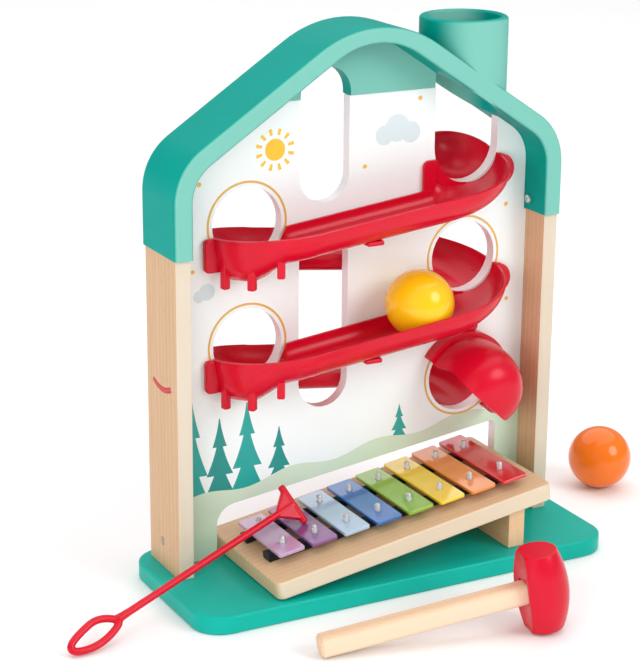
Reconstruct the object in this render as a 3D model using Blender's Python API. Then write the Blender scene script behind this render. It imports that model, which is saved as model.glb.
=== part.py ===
# House-shaped ball run with a xylophone. Metres, +Z up.
# The origin is on the floor, midway between the posts, below the front face of the play panel.

import math

import bmesh
import bpy
from mathutils import Matrix, Vector

# Fits
SEAT_GAP = 0.0003  # between two pieces that touch
SHANK_GAP = 0.0003  # around the shank of a screw or nail

# Ball and the room it needs
BALL_RADIUS = 0.0225
BALL_PLAY = 0.0008  # ball to channel wall
PASS_PLAY = 0.0015  # ball to the edge of a panel hole
DROP_PLAY = 0.0015  # ball to the chimney bore

# Base board
BASE_LENGTH = 0.300
BASE_DEPTH = 0.1175
BASE_FRONT = 0.0845  # front edge ahead of the panel's front face
BASE_THICKNESS = 0.012
BASE_CORNER = 0.020
BASE_EDGE = 0.0016

# Xylophone
XYLOPHONE_SLOPE = math.radians(9.0)
BOARD_LEFT_X = -0.096
BOARD_LENGTH = 0.204
BOARD_WIDTH = 0.101
BOARD_THICKNESS = 0.012
BOARD_CORNER = 0.005
BOARD_EDGE = 0.0014
BOARD_CENTRE_Y = -0.029
BLOCK_WIDTH = 0.012
BLOCK_LENGTH = 0.087
BLOCK_INSET = 0.0175  # right end of the board to the block
FELT_THICKNESS = 0.005
FELT_WIDTH = 0.009
FELT_OVERHANG = 0.005  # past the outer bars
BAR_PITCH = 0.02286
BAR_WIDTH = 0.0185
BAR_THICKNESS = 0.0025
BAR_CORNER = 0.003
BAR_EDGE = 0.0006
BAR_LONGEST = 0.083
BAR_STEP = 0.0031  # each bar is this much shorter than its right-hand neighbour
BAR_PIN_SPAN = 0.552  # pins over the still points of a bar, as a share of its length
PIN_RADIUS = 0.0011
PIN_DEPTH = 0.008  # into the board
PIN_HEAD_RADIUS = 0.0023
PIN_HEAD_HEIGHT = 0.0014
SLEEVE_WALL = 0.0010
SLEEVE_RISE = 0.0036  # above the bar

# Posts and panel
HOUSE_WIDTH = 0.277  # over both posts
POST_WIDTH = 0.0105
POST_DEPTH = 0.0465
POST_EDGE = 0.0010
FRAME_CENTRE_Y = 0.001  # middle of the posts' and roof's depth
TENON_WIDTH = 0.006
TENON_DEPTH = 0.040
TENON_LENGTH = 0.028
GROOVE_DEPTH = 0.004
PANEL_THICKNESS = 0.008
HOLE_X = 0.0795  # ball holes, either side of the middle
EXIT_RISE = 0.0498  # lowest hole's centre above the bars below it
LAST_DROP = 0.0443  # lowest traverse, hole centre to hole centre
LEVEL_DROP = 0.0395  # each of the two traverses above it
FIRST_DROP = 0.0352  # highest traverse
SLOT_X = -0.0252
SLOT_WIDTH = 0.0355
SLOT_BAR = 0.017  # panel left between the two slots
SLOT_TOP_RISE = 0.0603  # top of the upper slot above the highest hole's centre
SLOT_LOW_DROP = 0.0057  # bottom of the lower slot below the lowest hole's centre
SLOT_MEET_DROP = 0.0272  # bottom of the upper slot below the highest hole's centre
OPENING_PLAY = 0.004  # panel to the ends of the xylophone board
OPENING_RISE = 0.0119  # panel above the bars, at mid board
OPENING_SLOPE = math.radians(7.45)
OPENING_LEFT_CORNER = 0.014
OPENING_RIGHT_CORNER = 0.004

# Roof
ROOF_PITCH = math.radians(33.6)
ROOF_PROUD = 0.0008  # roof's outer face beyond the posts
ROOF_THICKNESS = 0.0125
ROOF_DEPTH = 0.0512
ROOF_EDGE = 0.0022
EAVE_DROP = 0.0128  # eave's bend centre below the highest hole's centre
EAVE_RADIUS = 0.040
RIDGE_RADIUS = 0.075
RIDGE_INNER_RADIUS = 0.051
SKIRT_LENGTH = 0.0342  # straight sleeve below the eave's bend
WEB_RISE = 0.0403  # web's lower edge above the highest hole's centre
WEB_THICKNESS = 0.011
CHIMNEY_X = 0.0775
CHIMNEY_WALL = 0.0048
CHIMNEY_RISE = 0.0848  # rim above the highest hole's centre
CHIMNEY_EDGE = 0.0020

# Ball run mouldings
CHANNEL_WALL = 0.0020
CHANNEL_CORNER = 0.020  # inside, floor to outer wall
INNER_CORNER = 0.009  # inside, floor to inner wall
OUTER_WALL_HEIGHT = 0.0175
INNER_WALL_HEIGHT = 0.0113
INNER_TURN = 0.0012  # bend radius of the channel's panel side
CHANNEL_SLOPE = 0.12  # fall of the straight run
FRONT_ENTER_SHARE = 0.6  # of the bends' fall, in the first bend of a front track
REAR_ENTER_SHARE = 0.45  # the same for a rear track
STEP_DOWN = 0.0005  # from a hole's edge to the channel, and from the channel to the next hole
TAB_WIDTH = 0.0056
TAB_DEPTH = 0.0045
TAB_START = math.radians(-60.0)  # lowest place of the outer tab round the channel's corner
TAB_DROP = 0.0042  # outer tab's lower edge below the floor
ENTER_TAB_WIDTH = 0.0097  # round tab beside the hole where a channel starts
ENTER_TAB_DROP = 0.0038
ENTER_TAB_START = math.radians(-45.0)
CUP_DEPTH = 0.0120  # bulge under the bend where a channel ends
# outline of the bulge: shares of the channel's reach and of the depth
CUP_PROFILE = ((0.885, 0.54), (0.854, -0.17), (0.672, -0.69), (0.375, -0.92), (0.04, -1.0), (-0.30, -0.92), (-0.534, -0.42))
# degrees into the bend, and the share of the bulge there
CUP_GROWTH = ((18, 0.0), (27, 0.08), (36, 0.32), (45, 0.61), (54, 0.85), (63, 0.97), (76, 1.0), (90, 1.0))
# height of the inner wall where a channel starts, as shares of the outer wall's
INNER_WALL_START = (1.0, 0.88, 0.72)
INNER_TAB_WIDTH = 0.008
INNER_PEG_RISE = 0.005  # above the floor at the hole
PEG_RADIUS = 0.0017
PEG_LENGTH = 0.006  # into the panel
FIN_LENGTH = 0.005
FIN_WIDTH = 0.005
FIN_OUT = 0.0155  # outside the channel's centre line
# Each fin's place round the leaving bend, in degrees, and its depth below the channel's floor
FINS = ((30.0, 0.0100), (55.0, 0.0155), (78.0, 0.0138))
LUG_LENGTH = 0.012
LUG_WIDTH = 0.008
LUG_OUT = 0.009
LUG_PAST = 0.009  # past the middle of the run
LUG_DEPTH = 0.0036
BOWL_PLAY = 0.0010  # wider than the hole
BOWL_WALL = 0.0020
BOWL_RIM_DROP = 0.0067  # rim at the panel below the hole's centre
BOWL_RIM_TILT = 0.36  # rise of the rim towards the back
BOWL_STRAP_HEIGHT = 0.009
BOWL_STRAP_DEPTH = 0.003
BOWL_EAR = 0.014  # strap beyond the bowl
HOOD_PLAY = 0.0048  # wider than the hole
HOOD_WALL = 0.0022
HOOD_REACH = 0.0515
HOOD_FULLNESS = 2.6  # 2 is a plain ellipsoid
HOOD_COLLAR_LENGTH = 0.009
HOOD_COLLAR_WALL = 0.0042
HOOD_OPEN_ANGLE = math.radians(228.0)  # direction that the mouth faces, seen from the front
# edge of the mouth: share of the reach from the panel, and distance from the hole's axis
HOOD_MOUTH = ((-0.2, 0.0064), (0.24, 0.0062), (0.36, 0.0048), (0.5, 0.0036), (0.6, 0.0044), (0.7, 0.0063), (0.8, 0.0090),
              (0.88, 0.0108), (0.96, 0.0115), (1.2, 0.0115))
HOOD_LUG_RADIUS = 0.0045
HOOD_LUG_ANGLES = (0.0, 80.0)  # degrees round the hole

# Fasteners
SCREW_RADIUS = 0.0015
SCREW_HEAD_RADIUS = 0.0030
SCREW_HEAD_HEIGHT = 0.0018
POST_SCREW_LENGTH = 0.032
POST_SCREW_SPREAD = 0.015  # either side of the post's middle
BLOCK_SCREW_LENGTH = 0.022
BLOCK_SCREW_SPREAD = 0.028
PANEL_SCREW_RISE = 0.0175  # above the base board
PANEL_SCREW_LENGTH = 0.017
PANEL_SCREW_SINK = 0.0015  # head below the post's face
ROOF_SCREW_RISE = 0.0075  # above the end of the sleeve
ROOF_SCREW_LENGTH = 0.0078
ROOF_SCREW_FRONT = 0.0055  # ahead of the panel's front face

# Inlay on the left post
INLAY_WIDTH = 0.027
INLAY_HEIGHT = 0.0030
INLAY_SAG = 0.0033
INLAY_DEPTH = 0.0030
INLAY_DROP = 0.0174  # ends of the strip below the lower left hole's centre

# Loose pieces
YELLOW_BALL_X = 0.031
ORANGE_BALL_X = 0.2124
ORANGE_BALL_Y = 0.0178
MALLET_END_X = -0.0982
MALLET_END_Y = -0.1353
MALLET_YAW = math.radians(-11.3)
HANDLE_LENGTH = 0.134
HANDLE_SIZE = 0.0135
HANDLE_EDGE = 0.0040
HANDLE_END_SHARE = 0.8  # width of the end face
HANDLE_END_ROUND = 0.0016
HANDLE_TENON_RADIUS = 0.0045
HANDLE_TENON_LENGTH = 0.010
HEAD_HEIGHT = 0.052
HEAD_END_RADIUS = 0.0130
HEAD_MID_RADIUS = 0.0178
HEAD_EDGE = 0.0016
HEAD_GROOVE_RADIUS = 0.0450
HEAD_GROOVE_DEPTH = 0.0075
HEAD_SEAT_DEPTH = 0.0015  # handle let in below the groove
RAKE_END_X = -0.2320
RAKE_END_Y = -0.0690
RAKE_YAW = math.radians(14.3)
RAKE_TILT = math.radians(51.0)
RAKE_LENGTH = 0.184
RAKE_RADIUS = 0.0024
RAKE_LOOP_LENGTH = 0.040
RAKE_LOOP_WIDTH = 0.018
RAKE_BAR_LENGTH = 0.029
RAKE_WEB_LENGTH = 0.014
RAKE_WEB_THICKNESS = 0.0026

# Facets
ROUND_SIDES = 32
BALL_SIDES = 24
PIN_SIDES = 8
BEND_STEPS = 7
CHANNEL_STEPS = 4
CORNER_STEPS = 3

# Bars from the low left end to the high right end, with their enamel
BAR_FINISHES = (
    ("bar_lilac", (0.56, 0.42, 0.62)),
    ("bar_purple", (0.30, 0.11, 0.36)),
    ("bar_pale_blue", (0.42, 0.64, 0.78)),
    ("bar_blue", (0.02, 0.26, 0.62)),
    ("bar_green", (0.30, 0.58, 0.05)),
    ("bar_yellow", (0.90, 0.72, 0.01)),
    ("bar_orange", (0.86, 0.34, 0.03)),
    ("bar_red", (0.68, 0.03, 0.04)),
)

# Finish of each material: colour, roughness, metallic
TEAL_PAINT = ("teal_paint", (0.03, 0.44, 0.38), 0.45, 0.0)
TEAL_PLASTIC = ("teal_plastic", (0.05, 0.47, 0.42), 0.40, 0.0)
RED_PLASTIC = ("red_plastic", (0.72, 0.01, 0.04), 0.30, 0.0)
PANEL_PRINT = ("panel_print", (0.92, 0.92, 0.90), 0.50, 0.0)
BEECH = ("beech", (0.80, 0.60, 0.40), 0.55, 0.0)
PALE_WOOD = ("pale_wood", (0.86, 0.70, 0.52), 0.55, 0.0)
BLACK_FELT = ("black_felt", (0.02, 0.02, 0.03), 0.95, 0.0)
ZINC_STEEL = ("zinc_steel", (0.60, 0.60, 0.62), 0.30, 1.0)
YELLOW_PAINT = ("yellow_paint", (0.92, 0.55, 0.01), 0.25, 0.0)
ORANGE_PAINT = ("orange_paint", (0.86, 0.18, 0.01), 0.25, 0.0)

# Sizes that follow from those above
BASE_TOP = BASE_THICKNESS + SEAT_GAP
HOLE_RADIUS = BALL_RADIUS + PASS_PLAY
BORE_RADIUS = BALL_RADIUS + DROP_PLAY
FELT_LOW = BOARD_THICKNESS + SEAT_GAP
BAR_LOW = FELT_LOW + FELT_THICKNESS + SEAT_GAP
BAR_TOP = BAR_LOW + BAR_THICKNESS
SLEEVE_TOP = BAR_TOP + SLEEVE_RISE
SLEEVE_RADIUS = PIN_RADIUS + SHANK_GAP + SLEEVE_WALL
BAR_HOLE_RADIUS = SLEEVE_RADIUS + SEAT_GAP
BOARD_ROW_START = (BOARD_LENGTH - BAR_PITCH * (len(BAR_FINISHES) - 1)) / 2


def height_over_board(x, level):
    """World height above x of the plane that lies at a level over the xylophone board's underside."""
    along = (x - BOARD_LEFT_X + level * math.sin(XYLOPHONE_SLOPE)) / math.cos(XYLOPHONE_SLOPE)
    return BASE_TOP + along * math.sin(XYLOPHONE_SLOPE) + level * math.cos(XYLOPHONE_SLOPE)


BOARD_RIGHT_X = BOARD_LEFT_X + BOARD_LENGTH * math.cos(XYLOPHONE_SLOPE)
BOARD_TOP_LEFT_X = BOARD_LEFT_X - BOARD_THICKNESS * math.sin(XYLOPHONE_SLOPE)
EXIT_HOLE_Z = height_over_board(HOLE_X, BAR_TOP) + EXIT_RISE
LOWER_LEFT_HOLE_Z = EXIT_HOLE_Z + LAST_DROP
MIDDLE_HOLE_Z = LOWER_LEFT_HOLE_Z + LEVEL_DROP
UPPER_LEFT_HOLE_Z = MIDDLE_HOLE_Z + LEVEL_DROP
TOP_HOLE_Z = UPPER_LEFT_HOLE_Z + FIRST_DROP

POST_OUTER_X = HOUSE_WIDTH / 2
POST_INNER_X = POST_OUTER_X - POST_WIDTH
ROOF_HALF_WIDTH = POST_OUTER_X + ROOF_PROUD
EAVE_Z = TOP_HOLE_Z - EAVE_DROP
SLEEVE_END_Z = EAVE_Z - SKIRT_LENGTH
SHOULDER_Z = SLEEVE_END_Z - SEAT_GAP
EAVE_CENTRE_X = ROOF_HALF_WIDTH - EAVE_RADIUS
RIDGE_Z = EAVE_Z + EAVE_RADIUS / math.cos(ROOF_PITCH) + EAVE_CENTRE_X * math.tan(ROOF_PITCH)
WEB_LOW_Z = TOP_HOLE_Z + WEB_RISE
PANEL_MID_Y = PANEL_THICKNESS / 2
CHIMNEY_TOP_Z = TOP_HOLE_Z + CHIMNEY_RISE
CHIMNEY_RADIUS = BORE_RADIUS + CHIMNEY_WALL

CHANNEL_HALF = BALL_RADIUS + BALL_PLAY
CHANNEL_REACH = CHANNEL_HALF + CHANNEL_WALL
TURN_RADIUS = CHANNEL_REACH + INNER_TURN
BEND_LENGTH = TURN_RADIUS * math.pi / 2
RUN_HALF = HOLE_X - TURN_RADIUS
RUN_LENGTH = 2 * RUN_HALF
TRACK_LENGTH = RUN_LENGTH + 2 * BEND_LENGTH
BOWL_RADIUS = HOLE_RADIUS + BOWL_PLAY
BOWL_STRAP_HALF = BOWL_RADIUS + BOWL_EAR


# Mesh helpers


def skin(rings, closed=False):
    """Closed mesh through rings of equal count: capped at both ends, or joined end to start."""
    bm = bmesh.new()
    loops = [[bm.verts.new(point) for point in ring] for ring in rings]
    spans = list(zip(loops, loops[1:]))
    if closed:
        spans.append((loops[-1], loops[0]))
    else:
        bm.faces.new(loops[0])
        bm.faces.new(loops[-1])
    for low, high in spans:
        count = len(low)
        for i in range(count):
            j = (i + 1) % count
            bm.faces.new((low[i], low[j], high[j], high[i]))
    bmesh.ops.recalc_face_normals(bm, faces=bm.faces)
    return bm


def add(name, bm):
    mesh = bpy.data.meshes.new(name)
    bm.to_mesh(mesh)
    bm.free()
    piece = bpy.data.objects.new(name, mesh)
    bpy.context.scene.collection.objects.link(piece)
    return piece


def circle(radius, sides, centre, across, up):
    """Ring of points about a centre, in the plane of two unit vectors."""
    turns = [2 * math.pi * (i + 0.5) / sides for i in range(sides)]
    return [centre + across * radius * math.cos(t) + up * radius * math.sin(t) for t in turns]


def side_vectors(direction):
    """Two unit vectors square to a direction and to each other."""
    helper = Vector((0, 0, 1))
    if abs(direction.z) > 0.9:
        helper = Vector((1, 0, 0))
    across = direction.cross(helper).normalized()
    return across, across.cross(direction).normalized()


def turned(name, stations, origin, direction, sides):
    """Turned solid: stations are (distance along the direction, radius)."""
    direction = Vector(direction).normalized()
    across, up = side_vectors(direction)
    rings = [circle(r, sides, Vector(origin) + direction * d, across, up) for d, r in stations]
    return add(name, skin(rings))


def rod(name, radius, start, end, sides=PIN_SIDES):
    span = Vector(end) - Vector(start)
    return turned(name, ((0, radius), (span.length, radius)), start, span, sides)


def box(name, low, high):
    corners = ((low[0], low[1]), (high[0], low[1]), (high[0], high[1]), (low[0], high[1]))
    return add(name, skin([[Vector((x, y, z)) for x, y in corners] for z in (low[2], high[2])]))


def arc(centre, radius, first, last, steps):
    """Points (across, up) on an arc, angles in radians."""
    turns = [first + (last - first) * i / steps for i in range(steps + 1)]
    return [(centre[0] + radius * math.cos(t), centre[1] + radius * math.sin(t)) for t in turns]


def rounded_outline(half_x, half_y, radius, steps=CORNER_STEPS):
    outline = []
    for quarter, (sx, sy) in enumerate(((1, 1), (-1, 1), (-1, -1), (1, -1))):
        centre = (sx * (half_x - radius), sy * (half_y - radius))
        start = quarter * math.pi / 2
        outline += arc(centre, radius, start, start + math.pi / 2, steps)
    return outline


def plate(name, half_x, half_y, low, high, corner, edge, centre=(0, 0), soft_low=False):
    """Board with round corners and a softened upper edge, and lower edge if asked."""
    upper = [(high - edge, 0), (high - edge * 0.3, edge * 0.3), (high, edge)]
    lower = [(low, 0)]
    if soft_low:
        lower = [(low + high - z, inset) for z, inset in reversed(upper)]
    rings = []
    for z, inset in lower + upper:
        outline = rounded_outline(half_x - inset, half_y - inset, corner - inset)
        rings.append([Vector((centre[0] + x, centre[1] + y, z)) for x, y in outline])
    return add(name, skin(rings))


def upright(name, outline, front, back):
    """Solid with an outline of (x, z) points, from its front y to its back y."""
    return add(name, skin([[Vector((x, y, z)) for x, z in outline] for y in (front, back)]))


def ball_body(name, radius, centre):
    bm = bmesh.new()
    bmesh.ops.create_uvsphere(bm, u_segments=BALL_SIDES, v_segments=BALL_SIDES // 2, radius=radius)
    bmesh.ops.translate(bm, vec=Vector(centre), verts=bm.verts)
    return add(name, bm)


def combine(piece, tools, operation):
    """Boolean of a piece with tools, which are used up."""
    for tool in tools:
        modifier = piece.modifiers.new(operation, "BOOLEAN")
        modifier.operation = operation
        modifier.object = tool
    bpy.context.view_layer.update()
    worked = piece.evaluated_get(bpy.context.evaluated_depsgraph_get())
    mesh = bpy.data.meshes.new_from_object(worked)
    piece.modifiers.clear()
    piece.data = mesh
    for tool in tools:
        bpy.data.objects.remove(tool)
    return piece


def join(piece, *tools):
    return combine(piece, tools, "UNION")


def cut(piece, *tools):
    return combine(piece, tools, "DIFFERENCE")


def finish(piece, look, parent=None):
    """Name the object's surface, shade its round faces and hang it on its parent."""
    slot, colour, roughness, metallic = look
    material = bpy.data.materials.get(slot)
    if material is None:
        material = bpy.data.materials.new(slot)
        material.use_nodes = True
        shader = material.node_tree.nodes["Principled BSDF"]
        shader.inputs["Base Color"].default_value = (*colour, 1)
        shader.inputs["Roughness"].default_value = roughness
        shader.inputs["Metallic"].default_value = metallic
    piece.data.name = piece.name
    piece.data.materials.clear()
    piece.data.materials.append(material)
    piece.data.shade_smooth()
    piece.data.set_sharp_from_angle(angle=math.radians(35))
    piece.parent = parent
    return piece


def anchor(name, location, rotation=(0, 0, 0)):
    empty = bpy.data.objects.new(name, None)
    empty.location = location
    empty.rotation_euler = rotation
    bpy.context.scene.collection.objects.link(empty)
    return empty


# Screws


def build_screw(name, seat, direction, length):
    """Pan-head screw whose head sits on the seat point and whose shank runs along the direction."""
    stations = (
        (-SCREW_HEAD_HEIGHT, SCREW_HEAD_RADIUS * 0.75),
        (-SCREW_HEAD_HEIGHT * 0.6, SCREW_HEAD_RADIUS),
        (0, SCREW_HEAD_RADIUS),
        (0, SCREW_RADIUS),
        (length - 2 * SCREW_RADIUS, SCREW_RADIUS),
        (length, SCREW_RADIUS * 0.4),
    )
    finish(turned(name, stations, seat, direction, PIN_SIDES), ZINC_STEEL)


def screw_hole(seat, direction, length, sink=0.0):
    """Room for a screw: its shank, and its head where the seat is sunk below the face."""
    direction = Vector(direction).normalized()
    seat = Vector(seat)
    below = seat - direction * SEAT_GAP
    hole = rod("hole", SCREW_RADIUS + SHANK_GAP, below, seat + direction * (length + SHANK_GAP))
    if sink:
        room = SCREW_HEAD_RADIUS + SHANK_GAP
        join(hole, rod("mouth", room, seat - direction * (sink + SEAT_GAP), seat + direction * SEAT_GAP))
    return hole


# Base, posts, panel and roof


def post_screw_seats(side):
    """Front and rear screw of one post."""
    middle = side * (POST_OUTER_X - POST_WIDTH / 2)
    spots = [FRAME_CENTRE_Y + end * POST_SCREW_SPREAD for end in (-1, 1)]
    return [Vector((middle, y, SCREW_HEAD_HEIGHT + SEAT_GAP)) for y in spots]


def block_middle():
    return BOARD_RIGHT_X - BLOCK_INSET - BLOCK_WIDTH / 2


def block_screw_seats():
    spots = [BOARD_CENTRE_Y + end * BLOCK_SCREW_SPREAD for end in (-1, 1)]
    return [Vector((block_middle(), y, SCREW_HEAD_HEIGHT + SEAT_GAP)) for y in spots]


def panel_screw_seat(side):
    depth = PANEL_SCREW_SINK + SCREW_HEAD_HEIGHT
    return Vector((side * (POST_OUTER_X - depth), PANEL_MID_Y, BASE_TOP + PANEL_SCREW_RISE))


def roof_screw_seat(side):
    inner_x = ROOF_HALF_WIDTH - ROOF_THICKNESS - SEAT_GAP
    return Vector((side * inner_x, -ROOF_SCREW_FRONT, SLEEVE_END_Z + ROOF_SCREW_RISE))


def upward_holes(seats, length):
    sink = SCREW_HEAD_HEIGHT + 2 * SEAT_GAP
    return [screw_hole(seat, (0, 0, 1), length, sink) for seat in seats]


def build_base():
    centre = (0, BASE_DEPTH / 2 - BASE_FRONT)
    half = (BASE_LENGTH / 2, BASE_DEPTH / 2)
    base = plate("base_board", *half, 0, BASE_THICKNESS, BASE_CORNER, BASE_EDGE, centre)
    cut(base, *upward_holes(post_screw_seats(-1) + post_screw_seats(1), POST_SCREW_LENGTH))
    cut(base, *upward_holes(block_screw_seats(), BLOCK_SCREW_LENGTH))
    finish(base, TEAL_PAINT)
    for end, seat in zip(("front", "rear"), block_screw_seats()):
        build_screw("block_screw_" + end, seat, (0, 0, 1), BLOCK_SCREW_LENGTH)


def inlay_outline(play):
    """Smile-shaped strip seen on the post's outer face, as (y, z) points."""
    half = INLAY_WIDTH / 2
    radius = (half * half + INLAY_SAG * INLAY_SAG) / (2 * INLAY_SAG)
    centre = (FRAME_CENTRE_Y, LOWER_LEFT_HOLE_Z - INLAY_DROP + radius - INLAY_SAG)
    reach = math.asin((half + play) / radius)
    down = -math.pi / 2
    thick = INLAY_HEIGHT / 2 + play
    low = arc(centre, radius + thick, down - reach, down + reach, BEND_STEPS)
    high = arc(centre, radius - thick, down + reach, down - reach, BEND_STEPS)
    return low + high


def inlay_body(name, play):
    face = -POST_OUTER_X - play
    outline = inlay_outline(play)
    ends = (face, -POST_OUTER_X + INLAY_DEPTH + play)
    return add(name, skin([[Vector((x, y, z)) for y, z in outline] for x in ends]))


def build_post(hand, side):
    name = hand + "_post"
    middle = side * (POST_OUTER_X - POST_WIDTH / 2)
    outline = rounded_outline(POST_WIDTH / 2, POST_DEPTH / 2, POST_EDGE, 2)
    ends = (BASE_TOP, SHOULDER_Z)
    post = add(name, skin([[Vector((middle + x, FRAME_CENTRE_Y + y, z)) for x, y in outline] for z in ends]))
    low = (middle - TENON_WIDTH / 2, FRAME_CENTRE_Y - TENON_DEPTH / 2, SHOULDER_Z - TENON_WIDTH)
    high = (middle + TENON_WIDTH / 2, FRAME_CENTRE_Y + TENON_DEPTH / 2, SHOULDER_Z + TENON_LENGTH)
    join(post, box("tenon", low, high))
    groove = sorted((side * (POST_INNER_X - SEAT_GAP - ROOF_THICKNESS), side * (POST_INNER_X + GROOVE_DEPTH)))
    room = box("groove", (groove[0], -SEAT_GAP, 0), (groove[1], PANEL_THICKNESS + SEAT_GAP, SHOULDER_Z))
    inward = (-side, 0, 0)
    seat = panel_screw_seat(side)
    sink = PANEL_SCREW_SINK + SCREW_HEAD_HEIGHT + SEAT_GAP
    cut(post, room, screw_hole(seat, inward, PANEL_SCREW_LENGTH, sink))
    cut(post, *[screw_hole(seat, (0, 0, 1), POST_SCREW_LENGTH) for seat in post_screw_seats(side)])
    cut(post, screw_hole(roof_screw_seat(side), (side, 0, 0), ROOF_SCREW_LENGTH))
    if side < 0:
        cut(post, inlay_body("inlay_room", SEAT_GAP))
    finish(post, BEECH)
    for end, foot in zip(("front", "rear"), post_screw_seats(side)):
        build_screw(name + "_screw_" + end, foot, (0, 0, 1), POST_SCREW_LENGTH)
    build_screw(hand + "_panel_screw", seat, inward, PANEL_SCREW_LENGTH)
    build_screw(hand + "_roof_screw", roof_screw_seat(side), (side, 0, 0), ROOF_SCREW_LENGTH)


def roof_line(inset, ridge_radius):
    """Points (x, z) along the arch from foot to foot, at a depth below its outer surface."""
    lean = math.pi / 2 - ROOF_PITCH
    radius = EAVE_RADIUS - inset
    ridge_z = RIDGE_Z - (inset + ridge_radius) / math.cos(ROOF_PITCH)
    line = [(-(ROOF_HALF_WIDTH - inset), SLEEVE_END_Z)]
    line += arc((-EAVE_CENTRE_X, EAVE_Z), radius, math.pi, math.pi - lean, BEND_STEPS)
    line += arc((0, ridge_z), ridge_radius, math.pi - lean, lean, BEND_STEPS)
    line += arc((EAVE_CENTRE_X, EAVE_Z), radius, lean, 0, BEND_STEPS)
    line.append((ROOF_HALF_WIDTH - inset, SLEEVE_END_Z))
    return line


def roof_underside():
    """Outline (x, z) of the space that the arch spans, closed along its foot."""
    return roof_line(ROOF_THICKNESS, RIDGE_INNER_RADIUS)


def slot_body(name, low, high, front, back):
    """Upright slot with round ends, through the panel's thickness."""
    half = SLOT_WIDTH / 2
    top = arc((SLOT_X, high - half), half, 0, math.pi, 2 * BEND_STEPS)
    bottom = arc((SLOT_X, low + half), half, math.pi, 2 * math.pi, 2 * BEND_STEPS)
    return upright(name, top + bottom, front, back)


def upper_slot(name, margin):
    low = TOP_HOLE_Z - SLOT_MEET_DROP
    return slot_body(name, low, TOP_HOLE_Z + SLOT_TOP_RISE, -margin, PANEL_THICKNESS + margin)


def build_roof():
    section = rounded_outline(ROOF_THICKNESS / 2, ROOF_DEPTH / 2, ROOF_EDGE, 2)
    rings = []
    for (outer_x, outer_z), (inner_x, inner_z) in zip(roof_line(0, RIDGE_RADIUS), roof_underside()):
        ring = []
        for across, along in section:
            share = 0.5 + across / ROOF_THICKNESS
            x = inner_x + (outer_x - inner_x) * share
            z = inner_z + (outer_z - inner_z) * share
            ring.append(Vector((x, FRAME_CENTRE_Y + along, z)))
        rings.append(ring)
    roof = add("roof_arch", skin(rings))

    rim = CHIMNEY_TOP_Z - CHIMNEY_EDGE
    foot = (CHIMNEY_X, PANEL_MID_Y, EAVE_Z)
    top_ring = (CHIMNEY_TOP_Z - EAVE_Z, CHIMNEY_RADIUS - CHIMNEY_EDGE)
    stations = ((0, CHIMNEY_RADIUS), (rim - EAVE_Z, CHIMNEY_RADIUS), top_ring)
    chimney = turned("chimney", stations, foot, (0, 0, 1), ROUND_SIDES)
    below = upright("below", roof_underside(), -ROOF_DEPTH, 2 * ROOF_DEPTH)
    cut(chimney, below)

    web_outline = [(x, z) for x, z in roof_line(ROOF_THICKNESS / 2, RIDGE_INNER_RADIUS) if z > WEB_LOW_Z]
    reach = (RIDGE_Z - ROOF_THICKNESS / 2 / math.cos(ROOF_PITCH) - WEB_LOW_Z) / math.tan(ROOF_PITCH)
    web_outline = [(-reach, WEB_LOW_Z)] + web_outline + [(reach, WEB_LOW_Z)]
    web_half = WEB_THICKNESS / 2
    web = upright("web", web_outline, PANEL_MID_Y - web_half, PANEL_MID_Y + web_half)
    join(roof, chimney, web)

    top = Vector((CHIMNEY_X, PANEL_MID_Y, CHIMNEY_TOP_Z + CHIMNEY_WALL))
    bore = rod("bore", BORE_RADIUS, (CHIMNEY_X, PANEL_MID_Y, SLEEVE_END_Z), top, ROUND_SIDES)
    cut(roof, bore, upper_slot("slot_room", WEB_THICKNESS))
    for side in (-1, 1):
        middle = side * (POST_OUTER_X - POST_WIDTH / 2)
        half_x = TENON_WIDTH / 2 + SEAT_GAP
        half_y = TENON_DEPTH / 2 + SEAT_GAP
        low = (middle - half_x, FRAME_CENTRE_Y - half_y, SLEEVE_END_Z - SEAT_GAP)
        high = (middle + half_x, FRAME_CENTRE_Y + half_y, SHOULDER_Z + TENON_LENGTH + SEAT_GAP)
        hole = screw_hole(roof_screw_seat(side), (side, 0, 0), ROOF_SCREW_LENGTH)
        cut(roof, box("socket", low, high), hole)
    finish(roof, TEAL_PLASTIC)


def panel_outline():
    """Outline (x, z): wide in the posts' grooves, then just inside the arch, flat below the web."""
    inset = ROOF_THICKNESS + SEAT_GAP
    groove_x = POST_INNER_X + GROOVE_DEPTH - SEAT_GAP
    step_z = SHOULDER_Z - SEAT_GAP
    top_z = WEB_LOW_Z - SEAT_GAP
    reach = (RIDGE_Z - inset / math.cos(ROOF_PITCH) - top_z) / math.tan(ROOF_PITCH)
    line = roof_line(inset, RIDGE_INNER_RADIUS)
    eave = [(x, z) for x, z in line if x < 0 and SLEEVE_END_Z < z < top_z]
    left = [(-groove_x, BASE_TOP), (-groove_x, step_z), (-(ROOF_HALF_WIDTH - inset), step_z)]
    left += eave + [(-reach, top_z)]
    return left + [(-x, z) for x, z in reversed(left)]


def opening_outline():
    """Opening over the xylophone: sloped along its top, with round upper corners, open at its foot."""
    left = BOARD_TOP_LEFT_X - OPENING_PLAY
    right = BOARD_RIGHT_X + OPENING_PLAY
    middle = (left + right) / 2
    fall = math.tan(OPENING_SLOPE)
    middle_z = height_over_board(middle, BAR_TOP) + OPENING_RISE
    foot = 0.0
    corners = []
    for x, radius, first, last in (
        (right, OPENING_RIGHT_CORNER, 0, math.pi / 2 + OPENING_SLOPE),
        (left, OPENING_LEFT_CORNER, math.pi / 2 + OPENING_SLOPE, math.pi),
    ):
        centre_x = x - math.copysign(radius, x - middle)
        centre_z = middle_z + fall * (centre_x - middle) - radius / math.cos(OPENING_SLOPE)
        corners += arc((centre_x, centre_z), radius, first, last, 2 * CORNER_STEPS)
    return [(right, foot)] + corners + [(left, foot)]


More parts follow.
